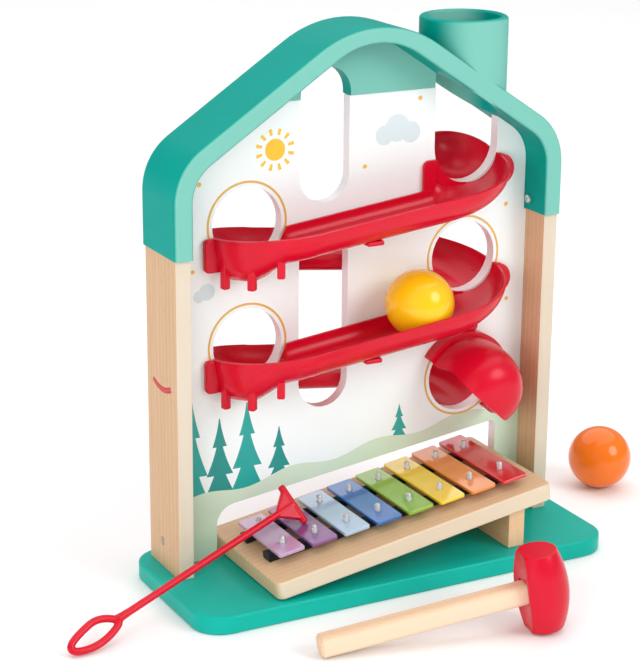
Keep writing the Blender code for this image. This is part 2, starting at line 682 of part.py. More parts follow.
def ball_hole(x, z):
    margin = PANEL_THICKNESS
    return rod("hole", HOLE_RADIUS, (x, -margin, z), (x, PANEL_THICKNESS + margin, z), ROUND_SIDES)


def build_panel(peg_rooms):
    panel = upright("play_panel", panel_outline(), 0, PANEL_THICKNESS)
    margin = PANEL_THICKNESS
    notch = ball_hole(HOLE_X, TOP_HOLE_Z)
    low = (HOLE_X - HOLE_RADIUS, -margin, TOP_HOLE_Z)
    high = (HOLE_X + HOLE_RADIUS, PANEL_THICKNESS + margin, RIDGE_Z)
    join(notch, box("notch_top", low, high))
    holes = [ball_hole(HOLE_X, z) for z in (MIDDLE_HOLE_Z, EXIT_HOLE_Z)]
    holes += [ball_hole(-HOLE_X, z) for z in (UPPER_LEFT_HOLE_Z, LOWER_LEFT_HOLE_Z)]
    lower_low = EXIT_HOLE_Z - SLOT_LOW_DROP
    lower_high = TOP_HOLE_Z - SLOT_MEET_DROP - SLOT_BAR
    slots = [
        upper_slot("upper_slot", margin),
        slot_body("lower_slot", lower_low, lower_high, -margin, PANEL_THICKNESS + margin),
        upright("opening", opening_outline(), -margin, PANEL_THICKNESS + margin),
    ]
    edge_holes = [screw_hole(panel_screw_seat(side), (-side, 0, 0), PANEL_SCREW_LENGTH) for side in (-1, 1)]
    cut(panel, notch, *holes, *slots, *edge_holes, *peg_rooms)
    finish(panel, PANEL_PRINT)


# Ball run. A front track leaves a right-hand hole, runs left and turns into the left-hand hole.
# A rear track is the same shape turned half round about the middle of the panel.


class Track:
    def __init__(self, name, enter_hole_z, leave_hole_z, behind):
        self.name = name
        self.behind = behind
        self.enter_z = enter_hole_z - HOLE_RADIUS - STEP_DOWN
        self.leave_z = leave_hole_z - HOLE_RADIUS + STEP_DOWN
        bends_fall = self.enter_z - self.leave_z - CHANNEL_SLOPE * RUN_LENGTH
        self.enter_fall = bends_fall * (REAR_ENTER_SHARE if behind else FRONT_ENTER_SHARE)
        self.leave_fall = bends_fall - self.enter_fall

    def point(self, along):
        """Floor centre, outward direction and floor height at a distance along the channel."""
        if along <= BEND_LENGTH:
            turn = along / TURN_RADIUS
            outward = Vector((math.cos(turn), -math.sin(turn), 0))
            centre = Vector((RUN_HALF, -SEAT_GAP, 0))
            floor = self.enter_z - self.enter_fall * along / BEND_LENGTH
            return centre + outward * TURN_RADIUS, outward, floor
        if along <= BEND_LENGTH + RUN_LENGTH:
            run = along - BEND_LENGTH
            place = Vector((RUN_HALF - run, -SEAT_GAP - TURN_RADIUS, 0))
            return place, Vector((0, -1, 0)), self.enter_z - self.enter_fall - CHANNEL_SLOPE * run
        left = TRACK_LENGTH - along
        turn = math.pi - left / TURN_RADIUS
        outward = Vector((math.cos(turn), -math.sin(turn), 0))
        centre = Vector((-RUN_HALF, -SEAT_GAP, 0))
        return centre + outward * TURN_RADIUS, outward, self.leave_z + self.leave_fall * left / BEND_LENGTH

    def corner(self, along, out, height):
        place, outward, floor = self.point(along)
        return place + outward * out + Vector((0, 0, floor + height))

    def peg_spots(self):
        """Places (x, z) of the pegs on the outer and the inner tab, as on a front track."""
        outer = (-(HOLE_X + CHANNEL_REACH + TAB_WIDTH / 2), self.leave_z + OUTER_WALL_HEIGHT / 2)
        return [outer, (inner_tab_right() - INNER_TAB_WIDTH / 2, self.enter_z + INNER_PEG_RISE)]


def inner_tab_depth():
    return INNER_TURN + CHANNEL_WALL * 0.75


def inner_tab_right():
    """Right side of the inner tab, in line with the channel's inner face at the tab's depth."""
    return RUN_HALF + math.sqrt((TURN_RADIUS - CHANNEL_HALF) ** 2 - inner_tab_depth() ** 2) - SEAT_GAP


def outer_corner(radius, first=-math.pi / 2):
    """Arc (outward, height over the floor) about the outer corner's centre, up to the wall's edge."""
    edge = math.asin(min(0, (OUTER_WALL_HEIGHT - CHANNEL_CORNER) / radius))
    return arc((CHANNEL_HALF - CHANNEL_CORNER, CHANNEL_CORNER), radius, first, edge, CHANNEL_STEPS)


def channel_section(inner_height):
    """Section of the channel: (outward, height over the floor), inside face then outside face."""
    centre = (INNER_CORNER - CHANNEL_HALF, INNER_CORNER)
    quarter = math.pi / 2
    inside = outer_corner(CHANNEL_CORNER)[::-1]
    inside += arc(centre, INNER_CORNER, -quarter, -2 * quarter, CORNER_STEPS)
    outside = arc(centre, INNER_CORNER + CHANNEL_WALL, -2 * quarter, -quarter, CORNER_STEPS)
    outside += outer_corner(CHANNEL_CORNER + CHANNEL_WALL)
    return inside + [(-CHANNEL_HALF, inner_height), (-CHANNEL_REACH, inner_height)] + outside


def wall_middle(out):
    """Height, over the floor, of the middle of the channel's wall at a distance from its centre line."""
    past = max(0, abs(out) - (CHANNEL_HALF - CHANNEL_CORNER))
    return CHANNEL_CORNER - math.sqrt((CHANNEL_CORNER + CHANNEL_WALL / 2) ** 2 - past ** 2)


def fin(track, along, length, out, width, depth):
    """Short rib under the channel, with its top inside the wall."""
    place, outward, floor = track.point(along)
    rings = []
    for end in (along - length / 2, along + length / 2):
        sides = (out - width / 2, out + width / 2)
        ring = [track.corner(end, side, wall_middle(side)) for side in sides]
        ring += [Vector((point.x, point.y, floor - depth)) for point in reversed(ring)]
        rings.append(ring)
    return add("fin", skin(rings))


def cup(track):
    """Bulge under the bend where a channel ends, with its top inside the wall."""
    outs = [out for out, _ in outer_corner(CHANNEL_CORNER, math.radians(-90.0))[-2::-1]]
    outs += [-CHANNEL_HALF * share for share in (0.13, 0.39, 0.60)]
    rings = []
    for angle, growth in CUP_GROWTH:
        along = BEND_LENGTH + RUN_LENGTH + BEND_LENGTH * angle / 90
        low, high = [], []
        for out, (wide, deep) in zip(outs, CUP_PROFILE):
            past = max(0, out - (CHANNEL_HALF - CHANNEL_CORNER))
            in_wall, near_face = [
                CHANNEL_CORNER - math.sqrt((CHANNEL_CORNER + CHANNEL_WALL * share) ** 2 - past ** 2) for share in (0.25, 0.7)
            ]
            high.append(track.corner(along, out, in_wall))
            at = (out + (wide * CHANNEL_REACH - out) * growth, near_face + (deep * CUP_DEPTH - near_face) * growth)
            low.append(track.corner(along, *at))
        rings.append(low + high[::-1])
    return add("cup", skin(rings))


def half_turn():
    """Half a turn about the upright line through the middle of the panel."""
    return Matrix.Translation((0, PANEL_THICKNESS, 0)) @ Matrix.Rotation(math.pi, 4, "Z")


def peg(spot, tab_depth):
    """Peg of a moulding on the panel's front, from inside its tab into the panel."""
    x, z = spot
    return rod("peg", PEG_RADIUS, (x, -SEAT_GAP - tab_depth / 2, z), (x, PEG_LENGTH, z))


def peg_room(spot):
    x, z = spot
    return rod("peg_room", PEG_RADIUS + SHANK_GAP, (x, -PANEL_THICKNESS, z), (x, PEG_LENGTH + SHANK_GAP, z))


def turned_round(piece):
    piece.data.transform(half_turn())
    return piece


def build_track(track):
    bend = [BEND_LENGTH * i / BEND_STEPS for i in range(BEND_STEPS + 1)]
    stations = bend + [BEND_LENGTH + RUN_LENGTH + distance for distance in bend]
    inner_heights = [OUTER_WALL_HEIGHT * share for share in INNER_WALL_START]
    inner_heights += [INNER_WALL_HEIGHT] * (len(stations) - len(inner_heights))
    rings = []
    for along, inner_height in zip(stations, inner_heights):
        rings.append([track.corner(along, out, height) for out, height in channel_section(inner_height)])
    channel = add(track.name, skin(rings))
    run_end = BEND_LENGTH + RUN_LENGTH
    fins = []
    for angle, depth in FINS:
        fins.append(fin(track, run_end + BEND_LENGTH * angle / 90, FIN_LENGTH, FIN_OUT, FIN_WIDTH, depth))
    lug_along = BEND_LENGTH + RUN_LENGTH / 2 + LUG_PAST
    fins.append(fin(track, lug_along, LUG_LENGTH, LUG_OUT, LUG_WIDTH, LUG_DEPTH))
    ear = outer_corner(CHANNEL_CORNER + CHANNEL_WALL / 2, TAB_START)
    far = CHANNEL_REACH + TAB_WIDTH
    ear = [(far, -TAB_DROP), (CHANNEL_REACH * CUP_PROFILE[2][0], -TAB_DROP)] + ear + [(far, ear[-1][1])]
    outline = [(-(HOLE_X + out), track.leave_z + height) for out, height in ear]
    outer_tab = upright("outer_tab", outline, -SEAT_GAP - TAB_DEPTH, -SEAT_GAP)
    start = outer_corner(CHANNEL_CORNER + CHANNEL_WALL / 2, ENTER_TAB_START)
    tall = (OUTER_WALL_HEIGHT + ENTER_TAB_DROP) / 2
    middle = (CHANNEL_REACH + ENTER_TAB_WIDTH - tall, OUTER_WALL_HEIGHT - tall)
    start += arc(middle, tall, math.pi / 2, -math.pi / 2, 2 * CHANNEL_STEPS)
    outline = [(HOLE_X + out, track.enter_z + height) for out, height in start]
    enter_tab = upright("enter_tab", outline[::-1], -SEAT_GAP - TAB_DEPTH, -SEAT_GAP)
    inner_low_z = track.enter_z - track.enter_fall + CHANNEL_WALL
    low = (inner_tab_right() - INNER_TAB_WIDTH, -SEAT_GAP - inner_tab_depth(), inner_low_z)
    high = (inner_tab_right(), -SEAT_GAP, track.enter_z + OUTER_WALL_HEIGHT)
    inner_tab = box("inner_tab", low, high)
    outer_spot, inner_spot = track.peg_spots()
    join(channel, cup(track), *fins, outer_tab, enter_tab, inner_tab)
    join(channel, peg(outer_spot, TAB_DEPTH), peg(inner_spot, inner_tab_depth()))
    if track.behind:
        turned_round(channel)
    finish(channel, RED_PLASTIC)


def bowl_strap_middle():
    rim = TOP_HOLE_Z - BOWL_RIM_DROP
    return rim - BOWL_STRAP_HEIGHT / 2 - SEAT_GAP


def bowl_peg_spots():
    """Places (x, z) of the strap's pegs, as if on the panel's front and not yet turned round."""
    reach = BOWL_STRAP_HALF - BOWL_STRAP_HEIGHT / 2
    return [(-HOLE_X + side * reach, bowl_strap_middle()) for side in (-1, 1)]


def build_bowl():
    """Quarter bowl behind the top hole, held by a strap with an ear on each side."""
    face = PANEL_THICKNESS + SEAT_GAP
    centre = (HOLE_X, face, TOP_HOLE_Z)
    bowl = ball_body("catch_bowl", BOWL_RADIUS + BOWL_WALL, centre)
    room = 2 * BOWL_STRAP_HALF
    rim = TOP_HOLE_Z - BOWL_RIM_DROP
    rise = BOWL_RIM_TILT * room
    wedge = [Vector((HOLE_X, y, z)) for y, z in ((face - room, rim - rise), (face + room, rim + rise))]
    corners = [wedge[0], wedge[1], wedge[1] + Vector((0, 0, room)), wedge[0] + Vector((0, 0, 2 * room))]
    rings = [[point + Vector((side * room, 0, 0)) for point in corners] for side in (-1, 1)]
    above = add("above", skin(rings))
    low = (HOLE_X - room, face - room, TOP_HOLE_Z - room)
    ahead = box("ahead", low, (HOLE_X + room, face, TOP_HOLE_Z + room))
    middle = bowl_strap_middle()
    half = BOWL_STRAP_HEIGHT / 2
    low = (HOLE_X - BOWL_STRAP_HALF, face, middle - half)
    high = (HOLE_X + BOWL_STRAP_HALF, face + BOWL_STRAP_DEPTH, middle + half)
    join(bowl, box("strap", low, high))
    cut(bowl, ahead, above, ball_body("hollow", BOWL_RADIUS, centre))
    join(bowl, *[turned_round(peg(spot, BOWL_STRAP_DEPTH)) for spot in bowl_peg_spots()])
    finish(bowl, RED_PLASTIC)


def hood_radius():
    return HOLE_RADIUS + HOOD_PLAY + HOOD_WALL


def hood_lug_spots():
    reach = hood_radius() + HOOD_LUG_RADIUS + STEP_DOWN
    turns = [math.radians(angle) for angle in HOOD_LUG_ANGLES]
    return [(HOLE_X + reach * math.cos(t), EXIT_HOLE_Z + reach * math.sin(t)) for t in turns]


def stretched_ball(name, radius, centre, reach):
    """Ball drawn out to a reach along y, with fuller shoulders."""
    ball = ball_body(name, 1.0, (0, 0, 0))
    for vert in ball.data.vertices:
        round_share = math.hypot(vert.co.x, vert.co.z)
        fuller = round_share ** (2 / HOOD_FULLNESS - 1) if round_share > 1e-6 else 1.0
        along = math.copysign(abs(vert.co.y) ** (2 / HOOD_FULLNESS), vert.co.y)
        vert.co = Vector((vert.co.x * fuller * radius, along * reach, vert.co.z * fuller * radius)) + Vector(centre)
    return ball


def build_hood():
    """Dome over the lowest hole, with a collar at the panel and its mouth facing down and left."""
    face = -SEAT_GAP
    centre = (HOLE_X, face, EXIT_HOLE_Z)
    inner = hood_radius() - HOOD_WALL
    hood = stretched_ball("exit_hood", hood_radius(), centre, HOOD_REACH)
    collar_end = (HOLE_X, face - HOOD_COLLAR_LENGTH, EXIT_HOLE_Z)
    collar = rod("collar", inner + HOOD_COLLAR_WALL, centre, collar_end, ROUND_SIDES)
    lugs = []
    for x, z in hood_lug_spots():
        lugs.append(rod("lug", HOOD_LUG_RADIUS, (x, face, z), (x, face - TAB_DEPTH, z), 2 * PIN_SIDES))
    join(hood, collar, *lugs)
    hollow = stretched_ball("hollow", inner, centre, HOOD_REACH - HOOD_WALL)
    room = 2 * HOOD_REACH
    low = (HOLE_X - room, face, EXIT_HOLE_Z - room)
    behind = box("behind", low, (HOLE_X + room, face + room, EXIT_HOLE_Z + room))
    edge = [(offset, -share * HOOD_REACH) for share, offset in HOOD_MOUTH]
    edge += [(room, edge[-1][1]), (room, edge[0][1])]
    mouth = add("mouth", skin([[Vector((x, y, z)) for x, y in edge] for z in (-room, room)]))
    mouth.data.transform(Matrix.Translation(centre) @ Matrix.Rotation(-HOOD_OPEN_ANGLE, 4, "Y"))
    cut(hood, hollow, behind, mouth)
    join(hood, *[peg(spot, TAB_DEPTH) for spot in hood_lug_spots()])
    finish(hood, RED_PLASTIC)


def build_balls(track):
    floor = track.enter_z - track.enter_fall - CHANNEL_SLOPE * (RUN_HALF - YELLOW_BALL_X)
    rise = (BALL_RADIUS + SEAT_GAP) * math.sqrt(1 + CHANNEL_SLOPE * CHANNEL_SLOPE)
    place = Vector((YELLOW_BALL_X, -SEAT_GAP - TURN_RADIUS, floor + rise))
    yellow = ball_body("yellow_ball", BALL_RADIUS, (0, 0, 0))
    yellow.location = place
    finish(yellow, YELLOW_PAINT)
    orange = ball_body("orange_ball", BALL_RADIUS, (0, 0, 0))
    orange.location = (ORANGE_BALL_X, ORANGE_BALL_Y, BALL_RADIUS)
    finish(orange, ORANGE_PAINT)


# Xylophone, in a frame along the board: x up the slope, z square to the board, from its lower left edge


def bar_middle(index):
    return BOARD_ROW_START + BAR_PITCH * index


def bar_length(index):
    return BAR_LONGEST - BAR_STEP * (len(BAR_FINISHES) - 1 - index)


def pin_spot(index, end):
    """Place of a bar's front (-1) or rear (1) pin."""
    return Vector((bar_middle(index), BOARD_CENTRE_Y + end * BAR_PIN_SPAN * bar_length(index) / 2, 0))


def pin_spots():
    return [pin_spot(index, end) for index in range(len(BAR_FINISHES)) for end in (-1, 1)]


def standing_rods(spots, radius, low, high):
    return [rod("rod", radius, (spot.x, spot.y, low), (spot.x, spot.y, high)) for spot in spots]


def build_board(frame):
    centre = (BOARD_LENGTH / 2, BOARD_CENTRE_Y)
    half = (BOARD_LENGTH / 2, BOARD_WIDTH / 2)
    shape = (0, BOARD_THICKNESS, BOARD_CORNER, BOARD_EDGE)
    board = plate("xylophone_board", *half, *shape, centre, soft_low=True)
    low = BOARD_THICKNESS - PIN_DEPTH - SHANK_GAP
    cut(board, *standing_rods(pin_spots(), PIN_RADIUS + SHANK_GAP, low, BAR_LOW))
    finish(board, PALE_WOOD, frame)


def build_block():
    left = block_middle() - BLOCK_WIDTH / 2
    right = left + BLOCK_WIDTH
    gap = SEAT_GAP / math.cos(XYLOPHONE_SLOPE)
    top = [(x, height_over_board(x, 0) - gap) for x in (right, left)]
    front = BOARD_CENTRE_Y - BLOCK_LENGTH / 2
    block = upright("support_block", [(left, BASE_TOP), (right, BASE_TOP)] + top, front, front + BLOCK_LENGTH)
    cut(block, *[screw_hole(seat, (0, 0, 1), BLOCK_SCREW_LENGTH) for seat in block_screw_seats()])
    finish(block, PALE_WOOD)


def build_felt(name, end, frame):
    """Strip under one row of pins, which draws in as the bars get shorter."""
    last = len(BAR_FINISHES) - 1
    first_spot = pin_spot(0, end)
    last_spot = pin_spot(last, end)
    lean = (last_spot - first_spot) / (last_spot.x - first_spot.x)
    over = BAR_WIDTH / 2 + FELT_OVERHANG
    start = first_spot - lean * over
    stop = last_spot + lean * over
    half = Vector((0, FELT_WIDTH / 2, 0))
    corners = (start - half, stop - half, stop + half, start + half)
    levels = (FELT_LOW, FELT_LOW + FELT_THICKNESS)
    felt = add(name, skin([[Vector((c.x, c.y, z)) for c in corners] for z in levels]))
    spots = [pin_spot(index, end) for index in range(last + 1)]
    cut(felt, *standing_rods(spots, PIN_RADIUS + SHANK_GAP, 0, SLEEVE_TOP))
    finish(felt, BLACK_FELT, frame)


def build_bar(index, frame):
    name, colour = BAR_FINISHES[index]
    centre = (bar_middle(index), BOARD_CENTRE_Y)
    half = (BAR_WIDTH / 2, bar_length(index) / 2)
    bar = plate(name, *half, BAR_LOW, BAR_TOP, BAR_CORNER, BAR_EDGE, centre)
    spots = [pin_spot(index, end) for end in (-1, 1)]
    cut(bar, *standing_rods(spots, BAR_HOLE_RADIUS, 0, SLEEVE_TOP))
    finish(bar, (name + "_enamel", colour, 0.25, 0.6), frame)


def build_pin(name, spot, frame):
    """Nail with the sleeve that is pushed on it, which keeps a bar in its place."""
    low = BOARD_THICKNESS - PIN_DEPTH
    stations = (
        (low, PIN_RADIUS * 0.4),
        (low + PIN_RADIUS, PIN_RADIUS),
        (BAR_LOW, PIN_RADIUS),
        (BAR_LOW, SLEEVE_RADIUS),
        (SLEEVE_TOP, SLEEVE_RADIUS),
        (SLEEVE_TOP, PIN_HEAD_RADIUS),
        (SLEEVE_TOP + PIN_HEAD_HEIGHT * 0.6, PIN_HEAD_RADIUS * 0.85),
        (SLEEVE_TOP + PIN_HEAD_HEIGHT, PIN_HEAD_RADIUS * 0.45),
    )
    finish(turned(name, stations, spot, (0, 0, 1), PIN_SIDES), ZINC_STEEL, frame)


def build_xylophone():
    frame = anchor("xylophone_frame", (BOARD_LEFT_X, 0, BASE_TOP), (0, -XYLOPHONE_SLOPE, 0))
    build_board(frame)
    build_block()
    build_felt("front_felt_strip", -1, frame)
    build_felt("rear_felt_strip", 1, frame)
    for index, (name, colour) in enumerate(BAR_FINISHES):
        build_bar(index, frame)
        build_pin(name + "_pin_front", pin_spot(index, -1), frame)
        build_pin(name + "_pin_rear", pin_spot(index, 1), frame)


# Loose tools


def mallet_pitch():
    """Slope of the mallet lying with its handle's end and one edge of its head on the floor."""
    reach = HANDLE_LENGTH - HEAD_SEAT_DEPTH + HEAD_MID_RADIUS - HEAD_GROOVE_DEPTH - HEAD_END_RADIUS
    high = HEAD_HEIGHT / 2
    return math.acos((HANDLE_SIZE / 2) / math.hypot(high, reach)) - math.atan2(reach, high)


def build_mallet():
    pitch = mallet_pitch()
    place = (MALLET_END_X, MALLET_END_Y, HANDLE_SIZE / 2 * math.cos(pitch) + SEAT_GAP)
    frame = anchor("mallet_frame", place, (0, -pitch, MALLET_YAW))

    outline = rounded_outline(HANDLE_SIZE / 2, HANDLE_SIZE / 2, HANDLE_EDGE, 3)
    small = [(y * HANDLE_END_SHARE, z * HANDLE_END_SHARE) for y, z in outline]
    stations = ((0, small), (HANDLE_END_ROUND, outline), (HANDLE_LENGTH - SEAT_GAP, outline))
    handle = add("mallet_handle", skin([[Vector((x, y, z)) for y, z in shape] for x, shape in stations]))
    tenon_end = HANDLE_LENGTH + HANDLE_TENON_LENGTH
    overlap = HANDLE_LENGTH - HANDLE_TENON_LENGTH
    join(handle, rod("tenon", HANDLE_TENON_RADIUS, (overlap, 0, 0), (tenon_end, 0, 0), 2 * PIN_SIDES))
    finish(handle, BEECH, frame)

    middle = HANDLE_LENGTH - HEAD_SEAT_DEPTH + HEAD_MID_RADIUS - HEAD_GROOVE_DEPTH
    half = HEAD_HEIGHT / 2
    stations = [(-half, HEAD_END_RADIUS - HEAD_EDGE)]
    for i in range(-CORNER_STEPS, CORNER_STEPS + 1):
        share = i / CORNER_STEPS
        radius = HEAD_MID_RADIUS - (HEAD_MID_RADIUS - HEAD_END_RADIUS) * share * share
        stations.append((share * (half - HEAD_EDGE), radius))
    stations.append((half, HEAD_END_RADIUS - HEAD_EDGE))
    head = turned("mallet_head", stations, (middle, 0, 0), (0, 0, 1), BALL_SIDES)
    groove_x = HANDLE_LENGTH - HEAD_SEAT_DEPTH - HEAD_GROOVE_RADIUS
    ends = [(groove_x, 0, side * HEAD_HEIGHT) for side in (-1, 1)]
    groove = rod("groove", HEAD_GROOVE_RADIUS, *ends, 2 * ROUND_SIDES)
    socket_end = tenon_end + SEAT_GAP
    socket = rod("socket", HANDLE_TENON_RADIUS + SEAT_GAP, (overlap, 0, 0), (socket_end, 0, 0), 2 * PIN_SIDES)
    room = rounded_outline(HANDLE_SIZE / 2 + SEAT_GAP, HANDLE_SIZE / 2 + SEAT_GAP, HANDLE_EDGE, 3)
    seat = add("seat", skin([[Vector((x, y, z)) for y, z in room] for x in (overlap, HANDLE_LENGTH)]))
    cut(head, groove, socket, seat)
    finish(head, RED_PLASTIC, frame)


def rake_lift(pitch):
    """Height of the loop's outer end when the loop's lowest point is just clear of the floor."""
    loop_half = RAKE_LOOP_LENGTH / 2 - RAKE_RADIUS
    loop_side = RAKE_LOOP_WIDTH / 2 - RAKE_RADIUS
    dip = math.hypot(loop_half * math.sin(pitch), loop_side * math.sin(RAKE_TILT) * math.cos(pitch))
    return SEAT_GAP + RAKE_RADIUS + dip - RAKE_LOOP_LENGTH / 2 * math.sin(pitch)


def rake_pitch():
    """Slope at which the low end of the rake's bar rests on the bar below it."""
    end = RAKE_BAR_LENGTH / 2 - RAKE_RADIUS
    level = BAR_TOP + SEAT_GAP + RAKE_RADIUS
    low, high = 0.0, math.radians(40)
    for _ in range(40):
        pitch = (low + high) / 2
        ahead = RAKE_LENGTH * math.cos(pitch) + end * math.sin(RAKE_TILT) * math.sin(pitch)
        aside = -end * math.cos(RAKE_TILT)
        x = RAKE_END_X + ahead * math.cos(RAKE_YAW) - aside * math.sin(RAKE_YAW)
        z = rake_lift(pitch) + RAKE_LENGTH * math.sin(pitch) - end * math.sin(RAKE_TILT) * math.cos(pitch)
        if z < height_over_board(x, level):
            low = pitch
        else:
            high = pitch
    return high


def build_rake():
    """One moulding: a finger loop, a round rod and a bar on a triangular web."""
    pitch = rake_pitch()
    rise = Matrix.Rotation(-pitch, 4, "Y")
    turn = Matrix.Rotation(RAKE_YAW, 4, "Z") @ rise @ Matrix.Rotation(RAKE_TILT, 4, "X")
    frame = anchor("rake_frame", (RAKE_END_X, RAKE_END_Y, rake_lift(pitch)), turn.to_euler())
    loop_half = RAKE_LOOP_LENGTH / 2 - RAKE_RADIUS
    loop_side = RAKE_LOOP_WIDTH / 2 - RAKE_RADIUS
    rings = []
    for i in range(ROUND_SIDES):
        t = 2 * math.pi * i / ROUND_SIDES
        centre = Vector((RAKE_LOOP_LENGTH / 2 + loop_half * math.cos(t), loop_side * math.sin(t), 0))
        outward = Vector((math.cos(t) * loop_side, math.sin(t) * loop_half, 0)).normalized()
        rings.append(circle(RAKE_RADIUS, PIN_SIDES, centre, outward, Vector((0, 0, 1))))
    rake = add("rake_stick", skin(rings, closed=True))
    stem_start = (RAKE_LOOP_LENGTH - RAKE_RADIUS, 0, 0)
    stem = rod("stem", RAKE_RADIUS, stem_start, (RAKE_LENGTH, 0, 0), PIN_SIDES)
    end = RAKE_BAR_LENGTH / 2
    tip = RAKE_RADIUS * 0.5
    stations = ((0, tip), (tip, RAKE_RADIUS), (2 * end - tip, RAKE_RADIUS), (2 * end, tip))
    bar = turned("bar", stations, (RAKE_LENGTH, -end, 0), (0, 1, 0), PIN_SIDES)
    half = RAKE_WEB_THICKNESS / 2
    side = end - RAKE_RADIUS
    start = RAKE_LENGTH - RAKE_WEB_LENGTH
    corners = ((start, -half), (RAKE_LENGTH, -side), (RAKE_LENGTH, side), (start, half))
    web = add("web", skin([[Vector((x, y, z)) for x, y in corners] for z in (-half, half)]))
    join(rake, stem, bar, web)
    finish(rake, RED_PLASTIC, frame)


def main():
    for piece in list(bpy.data.objects):
        bpy.data.objects.remove(piece)
    tracks = (
        Track("upper_front_track", TOP_HOLE_Z, UPPER_LEFT_HOLE_Z, False),
        Track("upper_rear_track", UPPER_LEFT_HOLE_Z, MIDDLE_HOLE_Z, True),
        Track("lower_front_track", MIDDLE_HOLE_Z, LOWER_LEFT_HOLE_Z, False),
        Track("lower_rear_track", LOWER_LEFT_HOLE_Z, EXIT_HOLE_Z, True),
    )
    front_spots = hood_lug_spots()
    rear_spots = bowl_peg_spots()
    for track in tracks:
        if track.behind:
            rear_spots += track.peg_spots()
        else:
            front_spots += track.peg_spots()
    rooms = [peg_room(spot) for spot in front_spots]
    rooms += [turned_round(peg_room(spot)) for spot in rear_spots]
    build_base()
    build_post("left", -1)
    build_post("right", 1)
    finish(inlay_body("post_inlay", 0), RED_PLASTIC)
    build_roof()
    build_panel(rooms)
    build_bowl()
    for track in tracks:
        build_track(track)
    build_hood()
    build_xylophone()
    build_balls(tracks[2])
    build_mallet()
    build_rake()


main()
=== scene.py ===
import math
from functools import partial

import bpy
from mathutils import Matrix, Vector


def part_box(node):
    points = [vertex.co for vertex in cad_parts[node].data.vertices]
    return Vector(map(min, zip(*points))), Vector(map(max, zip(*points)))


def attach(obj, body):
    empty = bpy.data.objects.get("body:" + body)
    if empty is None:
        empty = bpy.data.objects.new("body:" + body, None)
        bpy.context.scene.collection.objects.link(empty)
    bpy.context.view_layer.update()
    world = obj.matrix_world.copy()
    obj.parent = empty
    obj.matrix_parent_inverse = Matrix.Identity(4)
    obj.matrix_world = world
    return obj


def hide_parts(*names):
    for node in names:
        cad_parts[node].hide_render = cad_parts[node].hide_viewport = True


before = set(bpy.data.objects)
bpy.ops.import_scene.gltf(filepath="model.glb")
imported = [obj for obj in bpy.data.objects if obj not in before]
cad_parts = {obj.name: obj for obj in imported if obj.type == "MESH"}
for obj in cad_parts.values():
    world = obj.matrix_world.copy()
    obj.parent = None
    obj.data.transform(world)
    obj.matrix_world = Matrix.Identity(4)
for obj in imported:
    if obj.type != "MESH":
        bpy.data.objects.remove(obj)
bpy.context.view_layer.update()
mm = 0.001
print("frame loaded:", len(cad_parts), "nodes")

# Camera and light

cameraView = {"place": (-615.89, -1110.01, 549.69), "azimuth": -27.93, "elevation": 17.49, "roll": 0.45, "lens": 109.456,
              "sensor": 36.0, "clip": (0.05, 30.0)}
studio = {
    "zenith": 0.58, "horizon": 0.24, "skyFrom": -0.1, "skyTo": 0.9,
    "topPlace": (0.4, 1.2, 3.5), "topSize": 7.0, "topPower": 130.0,
    "keyPlace": (1.0, -1.6, 1.2), "keySize": 1.2, "keyPower": 18.0,
    "fillPlace": (-1.5, -1.2, 0.6), "fillSize": 1.6, "fillPower": 20.0,
    "aim": (0.0, 0.0, 0.14), "floorSize": 40.0,
}


def frameAt(spot, *turns):  # moved by millimetres, then turned by degrees about each axis in order
    whole = Matrix.Translation(Vector(spot) * mm)
    for angle, axis in turns:
        whole = whole @ Matrix.Rotation(math.radians(angle), 4, axis)
    return whole


def linked(name, data):  # new object in the scene
    obj = bpy.data.objects.new(name, data)
    bpy.context.scene.collection.objects.link(obj)
    return obj


def hexColor(code):  # sRGB hex to linear
    parts = [int(code[i:i + 2], 16) / 255 for i in (1, 3, 5)]
    return tuple(c / 12.92 if c <= 0.04045 else ((c + 0.055) / 1.055) ** 2.4 for c in parts) + (1.0,)


def addNode(tree, kind, inputs=None, out=0, **settings):  # one node with its settings and links, gives its output
    node = tree.nodes.new("ShaderNode" + kind)
    for key, value in settings.items():
        setattr(node, key, value)
    for socket, value in (inputs or {}).items():
        if isinstance(value, bpy.types.NodeSocket):
            tree.links.new(value, node.inputs[socket])
        else:
            node.inputs[socket].default_value = value
    return node.outputs[out]


colourMix = {"out": 2, "data_type": "RGBA"}  # settings of a node that mixes two colours
materials = {}


def newMaterial(name, constants):  # constants go straight onto the shader's sockets
    material = bpy.data.materials.new(name)
    materials[name] = material
    material.use_nodes = True
    shader = material.node_tree.nodes["Principled BSDF"]
    for socket, value in constants.items():
        shader.inputs[socket].default_value = value
    add = partial(addNode, material.node_tree)
    return add, shader, add("TexCoord", out="Object")


def setFinish(add, shader, tone=None, rough=None, bump=None):  # rough: source, least, most; bump: height, strength, mm
    link = shader.id_data.links.new
    if tone:
        link(tone, shader.inputs["Base Color"])
    if rough:
        link(add("MapRange", {"Value": rough[0], "To Min": rough[1], "To Max": rough[2]}), shader.inputs["Roughness"])
    if bump:
        link(add("Bump", {"Height": bump[0], "Strength": bump[1], "Distance": bump[2] * mm}), shader.inputs["Normal"])


def perMm(size):  # noise scale for features of this many millimetres
    return 1 / (size * mm)


